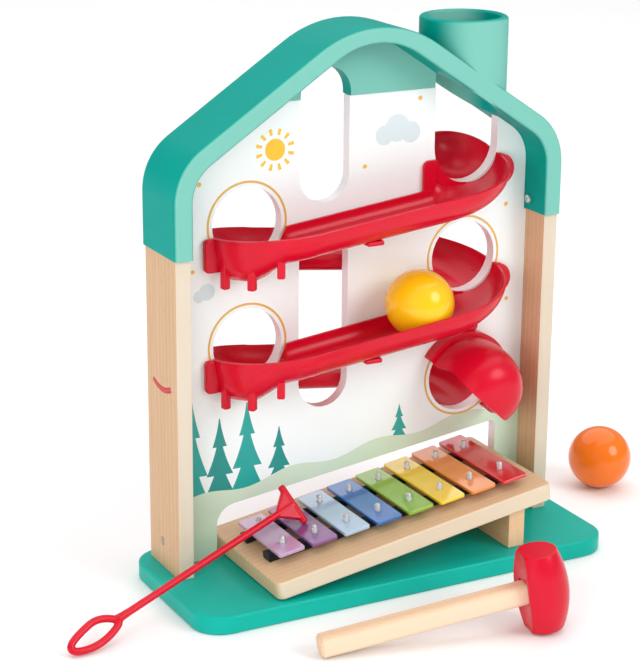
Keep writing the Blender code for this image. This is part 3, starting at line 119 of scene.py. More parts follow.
azimuth, elevation, roll = (math.radians(cameraView[key]) for key in ("azimuth", "elevation", "roll"))
back = Vector((math.sin(azimuth) * math.cos(elevation), -math.cos(azimuth) * math.cos(elevation), math.sin(elevation)))
across = Vector((math.cos(azimuth), math.sin(azimuth), 0))
upward = back.cross(across)
right = across * math.cos(roll) + upward * math.sin(roll)
above = upward * math.cos(roll) - across * math.sin(roll)
cameraData = bpy.data.cameras.new("photoCamera")
cameraData.lens = cameraView["lens"]
cameraData.sensor_width = cameraView["sensor"]
cameraData.clip_start, cameraData.clip_end = cameraView["clip"]
camera = linked("photoCamera", cameraData)
camera.matrix_world = frameAt(cameraView["place"]) @ Matrix((right, above, back)).transposed().to_4x4()
bpy.context.scene.camera = camera
bpy.context.scene.view_settings.view_transform = "Standard"

world = bpy.data.worlds.new("softStudio")
bpy.context.scene.world = world
world.use_nodes = True
add = partial(addNode, world.node_tree)
sky = world.node_tree.nodes["Background"]
sky.inputs["Color"].default_value = hexColor("#FFFFFF")
height = add("SeparateXYZ", {0: add("TexCoord", out="Generated")}, out=2)
glow = add("MapRange", {"Value": height, "From Min": studio["skyFrom"], "From Max": studio["skyTo"],
                        "To Min": studio["horizon"], "To Max": studio["zenith"]})
world.node_tree.links.new(glow, sky.inputs["Strength"])
for light in ("top", "key", "fill"):
    bpy.ops.object.light_add(type="AREA", location=studio[light + "Place"])
    lamp = bpy.context.object
    lamp.name = light + "Softbox"
    lamp.data.shape = "DISK"
    lamp.data.size = studio[light + "Size"]
    lamp.data.energy = studio[light + "Power"]
    lamp.visible_glossy = light != "fill"  # the fill brightens without a reflection
    lamp.rotation_euler = (Vector(studio["aim"]) - lamp.location).to_track_quat("-Z", "Y").to_euler()
print("camera and light set")

# Materials and floor

# drift: size in mm and detail of the noise under colour and roughness, relief: the same under the bumps,
# rough: least and most roughness, bump: strength and height in mm
dippedLacquer = {"sockets": {"IOR": 1.5, "Specular IOR Level": 0.30, "Coat Weight": 0.30, "Coat Roughness": 0.12},
                 "drift": (35.0, 3.0), "rough": (0.12, 0.20), "relief": (3.0, 2.0), "bump": (0.05, 0.3)}
plainFinish = {
    # injection-moulded ABS, polished tool: clean gloss with soft reflections and a faint flow in the colour
    "glossMouldedAbsRed": {
        "sockets": {"IOR": 1.53, "Specular IOR Level": 0.24}, "light": "#D60D2C", "deep": "#CA0926",
        "drift": (22.0, 3.0), "rough": (0.20, 0.30), "relief": (0.8, 2.0), "bump": (0.04, 0.3)},
    # the same ABS from a fine spark-eroded tool: satin, highlights spread wide; edge: painted front light, a paler
    # colour on faces turned to the front and back
    "satinMouldedAbsTeal": {
        "sockets": {"IOR": 1.53, "Specular IOR Level": 0.04}, "light": "#029F92", "deep": "#019488", "edge": "#78BCAE",
        "drift": (22.0, 3.0), "rough": (0.36, 0.46), "relief": (0.5, 2.0), "bump": (0.10, 0.3)},
    # sprayed satin lacquer on board: even colour, wide sheen and a slight orange peel
    "satinLacqueredBoardTeal": {
        "sockets": {"IOR": 1.5, "Specular IOR Level": 0.10, "Coat Weight": 0.08, "Coat Roughness": 0.12},
        "light": "#0CB3A3", "deep": "#08A696",
        "drift": (35.0, 3.0), "rough": (0.30, 0.40), "relief": (2.2, 2.0), "bump": (0.10, 0.3)},
    # dipped gloss lacquer on turned wooden balls: sharp highlights over a nearly smooth skin
    "glossLacqueredWoodYellow": {**dippedLacquer, "light": "#FFCC14", "deep": "#FBB612"},
    "glossLacqueredWoodOrange": {**dippedLacquer, "light": "#F47B14", "deep": "#EA6A0E"},
    # zinc-plated steel: bright grey with a cloudy, slightly blue plating
    "brightZincPlatedSteel": {
        "sockets": {"Metallic": 1.0}, "light": "#F0F0F0", "deep": "#D8DADC", "drift": (1.2, 4.0), "rough": (0.25, 0.40)},
    # clear extruded vinyl: glassy, a little cloudy along its length
    "clearExtrudedVinyl": {
        "sockets": {"Transmission Weight": 0.5, "IOR": 1.45, "Base Color": hexColor("#FAFBFC")},
        "drift": (1.5, 2.0), "rough": (0.06, 0.22)},
    # pressed wool felt: matt black, fibres catch a grey sheen
    "pressedWoolFeltBlack": {
        "sockets": {"Sheen Weight": 0.35, "Sheen Roughness": 0.5, "Sheen Tint": hexColor("#8A8A90"),
                    "Specular IOR Level": 0.2},
        "light": "#2C2C31", "deep": "#0C0C0E", "drift": (0.5, 6.0), "twist": 1.2, "rough": (0.85, 1.0), "bump": (0.6, 0.4)},
    # matt paper backdrop: almost even white with a faint drift
    "mattWhitePaper": {
        "sockets": {"Roughness": 0.9, "Specular IOR Level": 0.1}, "light": "#FAFAFA", "deep": "#F7F7F7",
        "drift": (400.0, 2.0)},
}
# baked gloss enamel on thin steel bars: a mirror-like clear skin over a colour with a little metal, darker where thick
bakedEnamel = {
    "sockets": {"Metallic": 0.1, "IOR": 1.5, "Coat Weight": 0.9, "Coat Roughness": 0.06, "Coat IOR": 1.6}, "thick": 0.86,
    "drift": (9.0, 2.0), "rough": (0.18, 0.28), "relief": (6.0, 1.0), "bump": (0.03, 0.3)}
enamelColors = {
    "lilac": "#C8A5CD", "purple": "#8C5596", "pale_blue": "#AFCDE6", "blue": "#146EBE",
    "green": "#8CBE28", "yellow": "#FAD700", "orange": "#F08C1E", "red": "#D71E23",
}
woodFinish = {
    # beech, planed and clear matt lacquered: warm streaks along the grain and short dark flecks; edge: painted front
    # light, a paler colour on faces turned to the front and back
    "mattLacqueredBeechPost": {"light": "#D8B48F", "dark": "#C89C71", "fleck": "#AE7E52", "edge": "#D6CBB9",
                               "turn": (0, -90, 0)},
    "mattLacqueredBeechHandle": {"light": "#EACCAC", "dark": "#E0BA94", "fleck": "#C69A70", "edge": "#EFD2B6",
                                 "turn": (0, -8.404, -11.3)},
    # pale pine-coloured board, the same finish with a quieter figure
    "mattLacqueredPaleWood": {"light": "#DDBE98", "dark": "#D0AE84", "fleck": "#BC9266", "edge": "#DDCFB6",
                              "turn": (0, -9, 0)},
    "mattLacqueredPaleBlock": {"light": "#DAAE84", "dark": "#CA996D", "fleck": "#B48355", "edge": "#E6C096",
                               "turn": (0, 0, 90)},
}
woodGrain = {"streak": 4.5, "streakStretch": 16.0, "fleck": 0.7, "fleckStretch": 9.0, "ring": 5.0, "ringShare": 0.35,
             "fleckFrom": 0.60, "fleckTo": 0.75, "fleckShare": 0.45, "edgeFigure": 0.25, "relief": 0.4}


def frontShareForPaintedLight(add):  # 1 on faces turned to the front or back, 0 elsewhere: the mask for painted front light, and for painted shade on the faces between
    normal = add("SeparateXYZ", {0: add("TexCoord", out="Normal")}, out=1)
    turned = add("Math", {0: normal}, operation="ABSOLUTE")
    return add("MapRange", {"Value": turned, "From Min": 0.30, "From Max": 0.97}, interpolation_type="SMOOTHSTEP")


def plainMaterial(name, look):  # colour and roughness drift together under a finer relief
    add, shader, place = newMaterial(name, look["sockets"])
    size, detail = look["drift"]
    drift = relief = add("TexNoise", {"Vector": place, "Scale": perMm(size), "Detail": detail,
                                      "Distortion": look.get("twist", 0.0)})
    tone = None
    if "light" in look:
        light = hexColor(look["light"])
        deep = hexColor(look["deep"]) if "deep" in look else tuple(c * look["thick"] for c in light[:3]) + (1.0,)
        tone = add("Mix", {0: drift, 6: deep, 7: light}, **colourMix)
    if "edge" in look:
        # painted front light: faces turned to the front and back take the paler edge colour
        tone = add("Mix", {0: frontShareForPaintedLight(add), 6: tone, 7: hexColor(look["edge"])}, **colourMix)
    if "relief" in look:
        size, detail = look["relief"]
        relief = add("TexNoise", {"Vector": place, "Scale": perMm(size), "Detail": detail})
    setFinish(add, shader, tone, "rough" in look and (drift, *look["rough"]), "bump" in look and (relief, *look["bump"]))


for name, look in plainFinish.items():
    plainMaterial(name, look)
for bar, code in enamelColors.items():
    plainMaterial("glossEnamelledSteel_" + bar, {**bakedEnamel, "light": code})
for name, look in woodFinish.items():
    add, shader, place = newMaterial(name, {"IOR": 1.48, "Coat Weight": 0.08, "Coat Roughness": 0.35})
    turned = tuple(math.radians(angle) for angle in look["turn"])
    along, short = (add("Mapping", {"Vector": place, "Rotation": turned, "Scale": (woodGrain[stretch], 1, 1)},
                        vector_type="TEXTURE") for stretch in ("streakStretch", "fleckStretch"))
    streaks = add("TexNoise", {"Vector": along, "Scale": perMm(woodGrain["streak"]), "Detail": 5.0, "Distortion": 0.5})
    # a wave band is 0.314 over the scale wide
    rings = add("TexWave", {"Vector": along, "Scale": 0.314 * perMm(woodGrain["ring"]), "Distortion": 6.0,
                            "Detail": 2.0, "Detail Scale": 0.6}, out=1, bands_direction="Y")
    figure = add("Mix", {0: woodGrain["ringShare"], 2: streaks, 3: rings}, data_type="FLOAT")
    tone = add("Mix", {0: figure, 6: hexColor(look["light"]), 7: hexColor(look["dark"])}, **colourMix)
    flecks = add("TexNoise", {"Vector": short, "Scale": perMm(woodGrain["fleck"]), "Detail": 1.0})
    marks = add("MapRange", {"Value": flecks, "From Min": woodGrain["fleckFrom"], "From Max": woodGrain["fleckTo"],
                             "To Max": woodGrain["fleckShare"]})
    tone = add("Mix", {0: marks, 6: tone, 7: hexColor(look["fleck"])}, **colourMix)
    # painted front light: faces turned to the front and back take the paler edge colour, with a little of the grain
    paintedLightGrain = add("Mix", {0: figure, 6: hexColor(look["edge"]), 7: tone}, **colourMix)
    paintedLightTone = add("Mix", {0: woodGrain["edgeFigure"], 6: hexColor(look["edge"]), 7: paintedLightGrain}, **colourMix)
    tone = add("Mix", {0: frontShareForPaintedLight(add), 6: tone, 7: paintedLightTone}, **colourMix)
    setFinish(add, shader, tone, (figure, 0.46, 0.60), (streaks, 0.10, woodGrain["relief"]))

# printed picture under clear lacquer on white board: inks lie flat; the unprinted cut edges carry a painted shade, a
# greyer off-white
printArt = {
    # edge: painted shade on the cut edges
    "white": "#F2FAF9", "shade": "#EFF8F7", "edge": "#F2EBEC", "teal": "#13A39A", "deepTeal": "#0E8F88", "sage": "#CFE3CB",
    "gold": "#DDB04F", "cloud": "#D3E3E6", "sun": "#F7C21F", "dot": "#F3B93A",
    "face": 0.4,  # mm, what lies ahead of it carries the print
    "holes": ((-79.5, 233.55), (-79.5, 154.55), (79.5, 194.05), (79.5, 110.25)), "ring": 27.0, "ringHalf": 0.75,
    "lip": (60.36, 3.8, 0.13076), "ground": 11.0, "roll": 2.5, "rollLength": 64.0,
    "paper": 30.0, "peel": 2.0, "relief": 0.3,  # mm, drift of the white, size and height of the lacquer's peel
    "tiers": 3.0, "tierTaper": 0.55, "pineTip": 1.06, "rayHalf": 0.17,  # shares of a pine's own size, of a ray's step
    # pine trees: middle x, foot z, half width, height, in mm
    "pines": ((-119.0, 44.0, 15.0, 80.0), (-99.5, 50.0, 13.0, 58.0), (-80.0, 50.0, 14.5, 66.0), (-57.0, 54.0, 11.0, 42.0),
              (33.0, 70.0, 8.0, 27.0), (118.0, 66.0, 10.0, 44.0)),
    "sunPlace": (-60.0, 279.0), "sunRadius": 7.0, "rayFrom": 9.3, "rayTo": 13.5, "rays": 12.0,
    # clouds: x, z, radius of each puff
    "puffs": ((18.0, 281.0, 6.5), (27.5, 285.0, 9.0), (37.5, 281.5, 7.0), (-113.0, 190.5, 4.0), (-107.5, 193.0, 5.5)),
    "dots": ((-112.0, 262.0, 1.5), (4.0, 262.0, 1.4), (44.0, 303.0, 1.5), (-117.0, 207.0, 1.4), (112.0, 226.0, 1.5),
             (14.0, 228.0, 1.5), (22.0, 224.0, 1.0), (115.0, 160.0, 1.4)),
}


def panelPrint():
    art = printArt
    add, shader, place = newMaterial("printedLacqueredBoardWhite", {
        "IOR": 1.5, "Coat Weight": 0.2, "Coat Roughness": 0.2})
    flat = add("VectorMath", {0: place, 1: (1000, 0, 1000)}, operation="MULTIPLY")  # mm, pressed flat
    depth = add("SeparateXYZ", {0: place}, out=1)
    x = add("SeparateXYZ", {0: flat}, out=0)

    def disc(cx, cz, radius, half=None):  # filled, or a ring where half its line's width is given
        away = add("VectorMath", {0: flat, 1: (cx, 0, cz)}, out=1, operation="DISTANCE")
        if half:
            return add("Math", {0: away, 1: radius, 2: half}, operation="COMPARE")
        return add("Math", {0: away, 1: radius}, operation="LESS_THAN")

    def pine(cx, foot, half, height):  # three tiers that narrow upwards
        own = add("Mapping", {"Vector": flat, "Location": (cx, 0, foot), "Scale": (half, 1, height)},
                  vector_type="TEXTURE")
        side = add("Math", {0: add("SeparateXYZ", {0: own}, out=0)}, operation="ABSOLUTE")
        level = add("SeparateXYZ", {0: own}, out=2)
        count = add("Math", {0: level, 1: art["tiers"]}, operation="MULTIPLY")
        tier = add("Math", {0: count}, operation="FRACT")
        spread = add("Math", {0: tier, 1: -art["tierTaper"], 2: 1.0}, operation="MULTIPLY_ADD")
        taper = add("Math", {0: art["pineTip"], 1: level}, operation="SUBTRACT")
        reach = add("Math", {0: spread, 1: taper}, operation="MULTIPLY")
        inside = add("Math", {0: side, 1: reach}, operation="LESS_THAN")
        between = add("Math", {0: level, 1: 0.5, 2: 0.5}, operation="COMPARE")  # foot to tip
        return add("Math", {0: inside, 1: between}, operation="MULTIPLY")

    def sunRays():
        cx, cz = art["sunPlace"]
        own = add("VectorMath", {0: flat, 1: (cx, 0, cz)}, operation="SUBTRACT")
        far = add("VectorMath", {0: own}, out=1, operation="LENGTH")
        turned = add("Math", {0: add("SeparateXYZ", {0: own}, out=2),
                              1: add("SeparateXYZ", {0: own}, out=0)}, operation="ARCTAN2")
        step = add("Math", {0: turned, 1: art["rays"] / math.tau}, operation="MULTIPLY")
        share = add("Math", {0: step}, operation="FRACT")
        blade = add("Math", {0: share, 1: 0.5, 2: art["rayHalf"]}, operation="COMPARE")
        middle, half = (art["rayFrom"] + art["rayTo"]) / 2, (art["rayTo"] - art["rayFrom"]) / 2
        band = add("Math", {0: far, 1: middle, 2: half}, operation="COMPARE")
        return add("Math", {0: blade, 1: band}, operation="MULTIPLY")

    level, middle, lean = art["lip"]
    over = add("VectorMath", {0: flat, 1: (-lean, 0, 1)}, out=1, operation="DOT_PRODUCT")
    turns = add("Math", {0: x, 1: math.tau / art["rollLength"]}, operation="MULTIPLY")
    wave = add("Math", {0: turns}, operation="SINE")
    foot = level - lean * middle + art["ground"]
    edge = add("Math", {0: wave, 1: art["roll"], 2: foot}, operation="MULTIPLY_ADD")
    ground = add("Math", {0: over, 1: edge}, operation="LESS_THAN")
    paper = add("TexNoise", {"Vector": place, "Scale": perMm(art["paper"]), "Detail": 2.0})
    tone = add("Mix", {0: paper, 6: hexColor(art["white"]), 7: hexColor(art["shade"])}, **colourMix)
    inks = {
        "cloud": [disc(*puff) for puff in art["puffs"]], "sun": [disc(*art["sunPlace"], art["sunRadius"]), sunRays()],
        "dot": [disc(*dot) for dot in art["dots"]], "deepTeal": [pine(*row) for row in art["pines"][1::2]],
        "teal": [pine(*row) for row in art["pines"][0::2]], "sage": [ground],
        "gold": [disc(*hole, art["ring"], art["ringHalf"]) for hole in art["holes"]]}
    for ink, masks in inks.items():  # each ink over those before it
        whole = masks[0]
        for mask in masks[1:]:
            whole = add("Math", {0: whole, 1: mask}, operation="MAXIMUM")
        tone = add("Mix", {0: whole, 6: tone, 7: hexColor(art[ink])}, **colourMix)
    ahead = add("Math", {0: depth, 1: art["face"] * mm}, operation="LESS_THAN")
    # painted shade: faces between front and back (the cut edges) take the greyer edge colour, front and back stay white
    facing = frontShareForPaintedLight(add)
    plainWithPaintedShade = add("Mix", {0: facing, 6: hexColor(art["edge"]), 7: hexColor(art["white"])}, **colourMix)
    inked = add("Math", {0: ahead, 1: facing}, operation="MULTIPLY")
    peel = add("TexNoise", {"Vector": place, "Scale": perMm(art["peel"]), "Detail": 2.0})
    tone = add("Mix", {0: inked, 6: plainWithPaintedShade, 7: tone}, **colourMix)
    setFinish(add, shader, tone, (paper, 0.34, 0.44), (peel, 0.05, art["relief"]))


panelPrint()
bpy.ops.mesh.primitive_plane_add(size=studio["floorSize"], location=(0, 0, 0))
floor = bpy.context.object
floor.name = "studioFloor"
floor.data.materials.append(materials["mattWhitePaper"])
print("floor and materials made:", len(materials))

# Modelling tools


def smoothLine(points, steps):  # curve through the points
    ends = [points[0], *points, points[-1]]
    line = []
    for a, b, c, d in zip(ends, ends[1:], ends[2:], ends[3:]):
        for t in (i / steps for i in range(steps)):
            line.append(tuple(q + 0.5 * t * (r - p + t * (2 * p - 5 * q + 4 * r - s + t * (3 * (q - r) + s - p)))
                              for p, q, r, s in zip(a, b, c, d)))
    return line + [tuple(points[-1])]


def takeUp(*objects):  # only these selected, the first one active
    if bpy.context.object and bpy.context.object.mode != "OBJECT":
        bpy.ops.object.mode_set(mode="OBJECT")
    bpy.ops.object.select_all(action="DESELECT")
    for obj in objects:
        obj.select_set(True)
    bpy.context.view_layer.objects.active = objects[0]


def settle(obj):  # place, turn and size go into the mesh
    takeUp(obj)
    bpy.ops.object.transform_apply(location=True, rotation=True, scale=True)
    return obj


def modify(obj, kind, **settings):
    takeUp(obj)
    step = obj.modifiers.new(kind, kind)
    for key, value in settings.items():
        setattr(step, key, value)
    bpy.ops.object.modifier_apply(modifier=step.name)
    return obj


def soften(obj, width, segments=3, angle=50.0):  # rounds the sharp edges
    return modify(obj, "BEVEL", width=width * mm, segments=segments, limit_method="ANGLE", angle_limit=math.radians(angle))


def thicken(obj, wall, offset=-1.0):  # sheet to an even wall, inwards unless told otherwise
    return modify(obj, "SOLIDIFY", thickness=wall * mm, offset=offset, use_even_offset=True, use_quality_normals=True)


def edit(obj, kind="VERT", chosen=None):  # edit mode, all selected or what is chosen
    takeUp(obj)
    bpy.ops.object.mode_set(mode="EDIT")
    bpy.ops.mesh.select_mode(type=kind)
    bpy.ops.mesh.select_all(action="DESELECT" if chosen else "SELECT")
    if chosen:
        bpy.ops.object.mode_set(mode="OBJECT")
        for item in obj.data.vertices if kind == "VERT" else obj.data.edges:
            item.select = chosen(item)
        bpy.ops.object.mode_set(mode="EDIT")


def leaveEdit(obj):
    bpy.ops.object.mode_set(mode="OBJECT")
    return obj


def bevelEdges(obj, width, segments, chosen):  # rounds the edges whose two ends are as asked
    edit(obj, "EDGE", lambda edge: chosen(*(obj.data.vertices[i].co for i in edge.vertices)))
    bpy.ops.mesh.bevel(offset=width * mm, segments=segments, affect="EDGES")
    return leaveEdit(obj)


def moved(obj, spot, turn=Matrix()):  # within its mesh: turned, then moved by millimetres
    obj.data.transform(frameAt(spot) @ turn)
    return obj


def closeUp(obj):  # merged, faces outwards, back to object mode
    edit(obj)
    bpy.ops.mesh.remove_doubles(threshold=1e-6)
    bpy.ops.mesh.normals_make_consistent(inside=False)
    return leaveEdit(obj)


def combine(obj, operation, *tools):
    for tool in tools:
        modify(obj, "BOOLEAN", object=tool, operation=operation, solver="EXACT")
        bpy.data.objects.remove(tool)
    return obj


def outlineBoard(outline, front, back):  # outline of (x, z) in mm, thick along y
    bpy.ops.mesh.primitive_circle_add(vertices=len(outline), radius=1, fill_type="NGON")
    obj = bpy.context.object
    for vert, (x, z) in zip(obj.data.vertices, outline):
        vert.co = Vector((x, front, z)) * mm
    edit(obj)
    bpy.ops.mesh.extrude_region_move(TRANSFORM_OT_translate={"value": (0, (back - front) * mm, 0)})
    return closeUp(obj)


def block(size, middle, edge=0.0, turn=0.0, segments=3):
    bpy.ops.mesh.primitive_cube_add(size=mm, location=Vector(middle) * mm, rotation=(0, 0, turn))
    obj = bpy.context.object
    obj.scale = size
    settle(obj)
    return soften(obj, edge, segments) if edge else obj


def turnedPiece(profile, sides=48):  # (height, radius) pairs in mm, from foot to tip along z
    height, radius = profile[0]
    bpy.ops.mesh.primitive_circle_add(vertices=sides, radius=radius * mm, fill_type="NGON", location=(0, 0, height * mm))
    obj = settle(bpy.context.object)
    edit(obj)
    for (low, before), (high, after) in zip(profile, profile[1:]):
        bpy.ops.mesh.extrude_region_move(TRANSFORM_OT_translate={"value": (0, 0, (high - low) * mm)})
        share = after / before
        bpy.ops.transform.resize(value=(share, share, 1), center_override=(0, 0, high * mm))
    return closeUp(obj)


def gridSheet(columns, rows, spot):  # grid whose points are placed by column and row, in mm
    bpy.ops.mesh.primitive_grid_add(x_subdivisions=columns, y_subdivisions=rows, size=1)
    obj = bpy.context.object
    for vert in obj.data.vertices:
        row, column = divmod(vert.index, columns + 1)
        vert.co = Vector(spot(column, row)) * mm
    return obj


def closedTube(sections):  # skin over closed sections of points in mm, both ends filled
    sections = [section + section[:1] for section in sections]
    obj = closeUp(gridSheet(len(sections[0]) - 1, len(sections) - 1, lambda column, row: sections[row][column]))
    edit(obj)
    bpy.ops.mesh.fill_holes(sides=0)
    return closeUp(obj)


def fromFrame(node):  # copy of a CAD shape, merged, flat faces whole again
    obj = linked(node + "_copy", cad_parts[node].data.copy())
    takeUp(obj)
    bpy.ops.mesh.customdata_custom_splitnormals_clear()
    edit(obj)
    bpy.ops.mesh.remove_doubles(threshold=1e-5)
    bpy.ops.mesh.dissolve_limited(angle_limit=math.radians(0.2))
    return leaveEdit(obj)


def copyOf(obj, place):  # own mesh, moved
    made = linked(obj.name + "_more", obj.data.copy())
    made.data.transform(place)
    return made


def dress(obj, name, material, node=None, angle=34.0, body="house"):  # look, shading and body of a piece
    obj.name = name
    obj.data.name = name
    obj.data.materials.clear()
    obj.data.materials.append(materials[material])
    takeUp(obj)
    bpy.ops.object.shade_smooth_by_angle(angle=math.radians(angle))
    modify(obj, "WEIGHTED_NORMAL", keep_sharp=True)
    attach(obj, body)
    if node:
        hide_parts(node)


def arcPoints(centre, radius, first, last, steps):  # degrees
    turns = [math.radians(first + (last - first) * i / steps) for i in range(steps + 1)]
    return [(centre[0] + radius * math.cos(t), centre[1] + radius * math.sin(t)) for t in turns]


alongX = Matrix.Rotation(math.radians(90), 4, "Y")  # turns z to x
alongY = Matrix.Rotation(math.radians(-90), 4, "X")  # turns z to y
forwards = Matrix.Rotation(math.radians(90), 4, "X")  # turns z to -y
halfTurn = frameAt((0, 8, 0), (180, "Z"))  # front of the panel to its back

# Base board, posts, block and panel

baseShape = {"size": (300.0, 117.5, 12.0), "middle": (0.0, -25.75, 6.0), "corner": 20.0, "edge": 1.6,
             "screws": ((-133.25, -14), (-133.25, 16), (133.25, -14), (133.25, 16), (81.99, -57), (81.99, -1)),
             "sink": (3.3, 2.4)}
hands = {"left": -1, "right": 1}
copyEdge = {"support_block": 0.6, "post_inlay": 0.35, "play_panel": 0.4}  # mm, on shapes that come from the CAD


def roundedBoard(size, middle, corner, edge, cornerSteps=12):  # upright edges round, the others softened
    return soften(bevelEdges(block(size, middle), corner, cornerSteps, lambda a, b: abs(a.z - b.z) > 0.5 * mm), edge)


def edgedCopy(node, angle=50.0):
    return soften(fromFrame(node), copyEdge[node], 2, angle)


base = roundedBoard(baseShape["size"], baseShape["middle"], baseShape["corner"], baseShape["edge"])
radius, depth = baseShape["sink"]
for x, y in baseShape["screws"]:
    combine(base, "DIFFERENCE", moved(turnedPiece(((-1, radius), (depth, radius)), 24), (x, y, 0)))
dress(base, "teal_base", "satinLacqueredBoardTeal", "base_board")
for hand in hands:
    dress(fromFrame(hand + "_post"), hand + "_beech_post", "mattLacqueredBeechPost", hand + "_post")
dress(edgedCopy("support_block"), "sloped_block", "mattLacqueredPaleBlock", "support_block")
dress(edgedCopy("post_inlay"), "red_post_inlay", "glossMouldedAbsRed", "post_inlay")
dress(edgedCopy("play_panel", 60), "printed_panel", "printedLacqueredBoardWhite", "play_panel")
print("base, posts, block and panel done")

# Roof with web and chimney

roofShape = {"half": 139.3, "pitch": 33.6, "thick": 12.5, "front": -24.6, "back": 26.6, "edge": 2.2, "foot": 221.75,
             "eave": (99.3, 255.95), "eaveRadius": 40.0, "ridge": 369.65, "ridgeRadius": 75.0, "ridgeInner": 51.0,
             "web": (309.05, -1.5, 9.5), "chimney": (77.5, 4.0, 353.55), "chimneyRadius": 28.8, "rim": 2.0,
             "bore": 24.0, "boreLead": (1.2, 1.4), "slot": (-25.2, 17.75, 241.55, 329.05),
             "socket": (133.25, 6.6, 40.6, 28.3), "socketY": 1.0, "past": 5.0,
             "through": (-60, 60), "slotCut": (-12, 20)}  # past: how far a cut overshoots, the others from front to back


def roofLine(inset, ridgeRadius):  # foot to foot, at a depth below the outer face
    shape = roofShape
    lean = 90 - shape["pitch"]
    eaveX, eaveZ = shape["eave"]
    radius = shape["eaveRadius"] - inset
    crown = (0, shape["ridge"] - (inset + ridgeRadius) / math.cos(math.radians(shape["pitch"])))
    line = [(-(shape["half"] - inset), shape["foot"])]
    line += arcPoints((-eaveX, eaveZ), radius, 180, 180 - lean, 16)
    line += arcPoints(crown, ridgeRadius, 180 - lean, lean, 16)
    line += arcPoints((eaveX, eaveZ), radius, lean, 0, 16)
    return line + [(shape["half"] - inset, shape["foot"])]


def slotOutline(x, half, low, high):
    return arcPoints((x, high - half), half, 0, 180, 24) + arcPoints((x, low + half), half, 180, 360, 24)


def buildRoof():
    shape = roofShape
    underside = roofLine(shape["thick"], shape["ridgeInner"])
    roof = outlineBoard(roofLine(0, shape["ridgeRadius"]) + underside[::-1], shape["front"], shape["back"])
    foot = (shape["foot"] + 0.1) * mm
    bevelEdges(roof, shape["edge"], 4, lambda a, b: abs(a.y - b.y) < 0.1 * mm and max(a.z, b.z) > foot)
    x, y, top = shape["chimney"]
    radius, rim = shape["chimneyRadius"], shape["rim"]
    low = shape["eave"][1]
    chimney = turnedPiece(((low, radius), (top - rim, radius), (top - 0.6 * rim, radius - 0.15 * rim),
                           (top - 0.2 * rim, radius - 0.5 * rim), (top, radius - rim)), 72)
    moved(chimney, (x, y, 0))
    combine(chimney, "DIFFERENCE", outlineBoard(underside, *shape["through"]))
    level, front, rear = shape["web"]
    pitch = math.radians(shape["pitch"])
    line = [(a, b) for a, b in roofLine(shape["thick"] / 2, shape["ridgeInner"]) if b > level]
    reach = (shape["ridge"] - shape["thick"] / 2 / math.cos(pitch) - level) / math.tan(pitch)
    web = outlineBoard([(-reach, level)] + line + [(reach, level)], front, rear)
    combine(roof, "UNION", chimney, web)
    radius, (deep, wide) = shape["bore"], shape["boreLead"]
    bore = turnedPiece(((low - 30, radius), (top - deep, radius), (top + 0.2, radius + wide), (top + 3, radius + wide)), 72)
    moved(bore, (x, y, 0))
    combine(roof, "DIFFERENCE", bore, outlineBoard(slotOutline(*shape["slot"]), *shape["slotCut"]))
    middle, width, depth, height = shape["socket"]
    tall = height + shape["past"]
    level = shape["foot"] - shape["past"] + tall / 2
    for side in (-1, 1):
        combine(roof, "DIFFERENCE", block((width, depth, tall), (side * middle, shape["socketY"], level)))
    return roof


dress(buildRoof(), "teal_roof", "satinMouldedAbsTeal", "roof_arch")
print("roof done")

# Ball channels

trackShape = {
    "turn": 26.5, "half": 53.0, "face": -0.3, "slope": 0.12, "wall": 2.0, "rim": 0.7, "easing": 6.0,
    "outer": (3.3, 20.0, 20.0, 17.5), "inner": (-14.3, 9.0, 9.0, 11.3),  # corner's place, height and radius, wall height
    "bendRows": 26, "runRows": 40, "holeX": 79.5,
    "fins": ((30.0, 9.0, 15.5), (55.0, 15.5, 16.5), (80.0, 15.0, 20.0)),  # degrees round the bend, depth, out
    "finSize": 5.0, "finEdge": 1.1,
    "lug": (9.0, 9.0, 12.0, 8.0, 3.6), "lugEdge": 1.2,  # past the run's middle, out, length, width, depth
    "earReach": 30.9, "earDepth": 4.5, "earStart": -60.0, "earDrop": 4.2, "earCorner": 3.0, "earFoot": 17.0,
    "earEdge": 1.3, "firstEar": (24.35, 6.85, 10.65), "firstStart": -45.0,
    "innerTab": (46.4, 56.2, 2.7), "tabEdge": 0.5, "innerFade": 17.0, "sill": (24.5, 24.2, 1.7),
    # bulge under the last bend: where it leaves the wall, where it reaches, and the degrees over which it grows
    "cupFrom": (23.3, 22.4, 20.6, 16.8, 10.5, 3.3, -3.0, -9.0, -14.0), "cupGrowth": (18.0, 66.0), "cupSkin": (0.5, 1.4),
    "cup": ((25.0, 15.5), (24.2, 9.0), (22.8, 3.0), (20.3, -3.5), (15.5, -9.0), (8.5, -11.5), (1.0, -12.0), (-7.5, -11.0),
            (-13.5, -5.0)),
}
# height at the hole it leaves and at the hole it enters, share of the bends' fall in the first bend, behind the panel
trackLevels = {
    "upper_front_track": (244.247, 210.047, 0.60, False), "upper_rear_track": (209.047, 170.547, 0.45, True),
    "lower_front_track": (169.547, 131.047, 0.60, False), "lower_rear_track": (130.047, 86.747, 0.45, True),
}


def trackPoint(levels, along):  # centre, outward direction and floor height
    shape = trackShape
    enter, leave, share, _ = levels
    turn, half = shape["turn"], shape["half"]
    bend = turn * math.pi / 2
    falls = enter - leave - shape["slope"] * 2 * half
    if along <= bend:
        t, middle = along / turn, half
        floor = enter - falls * share * along / bend
    elif along <= bend + 2 * half:
        run = along - bend
        floor = enter - falls * share - shape["slope"] * run
        return Vector((half - run, shape["face"] - turn, 0)), Vector((0, -1, 0)), floor
    else:
        left = 2 * bend + 2 * half - along
        t, middle = math.pi - left / turn, -half
        floor = leave + falls * (1 - share) * left / bend
    outward = Vector((math.cos(t), -math.sin(t), 0))
    return Vector((middle, shape["face"], 0)) + outward * turn, outward, floor


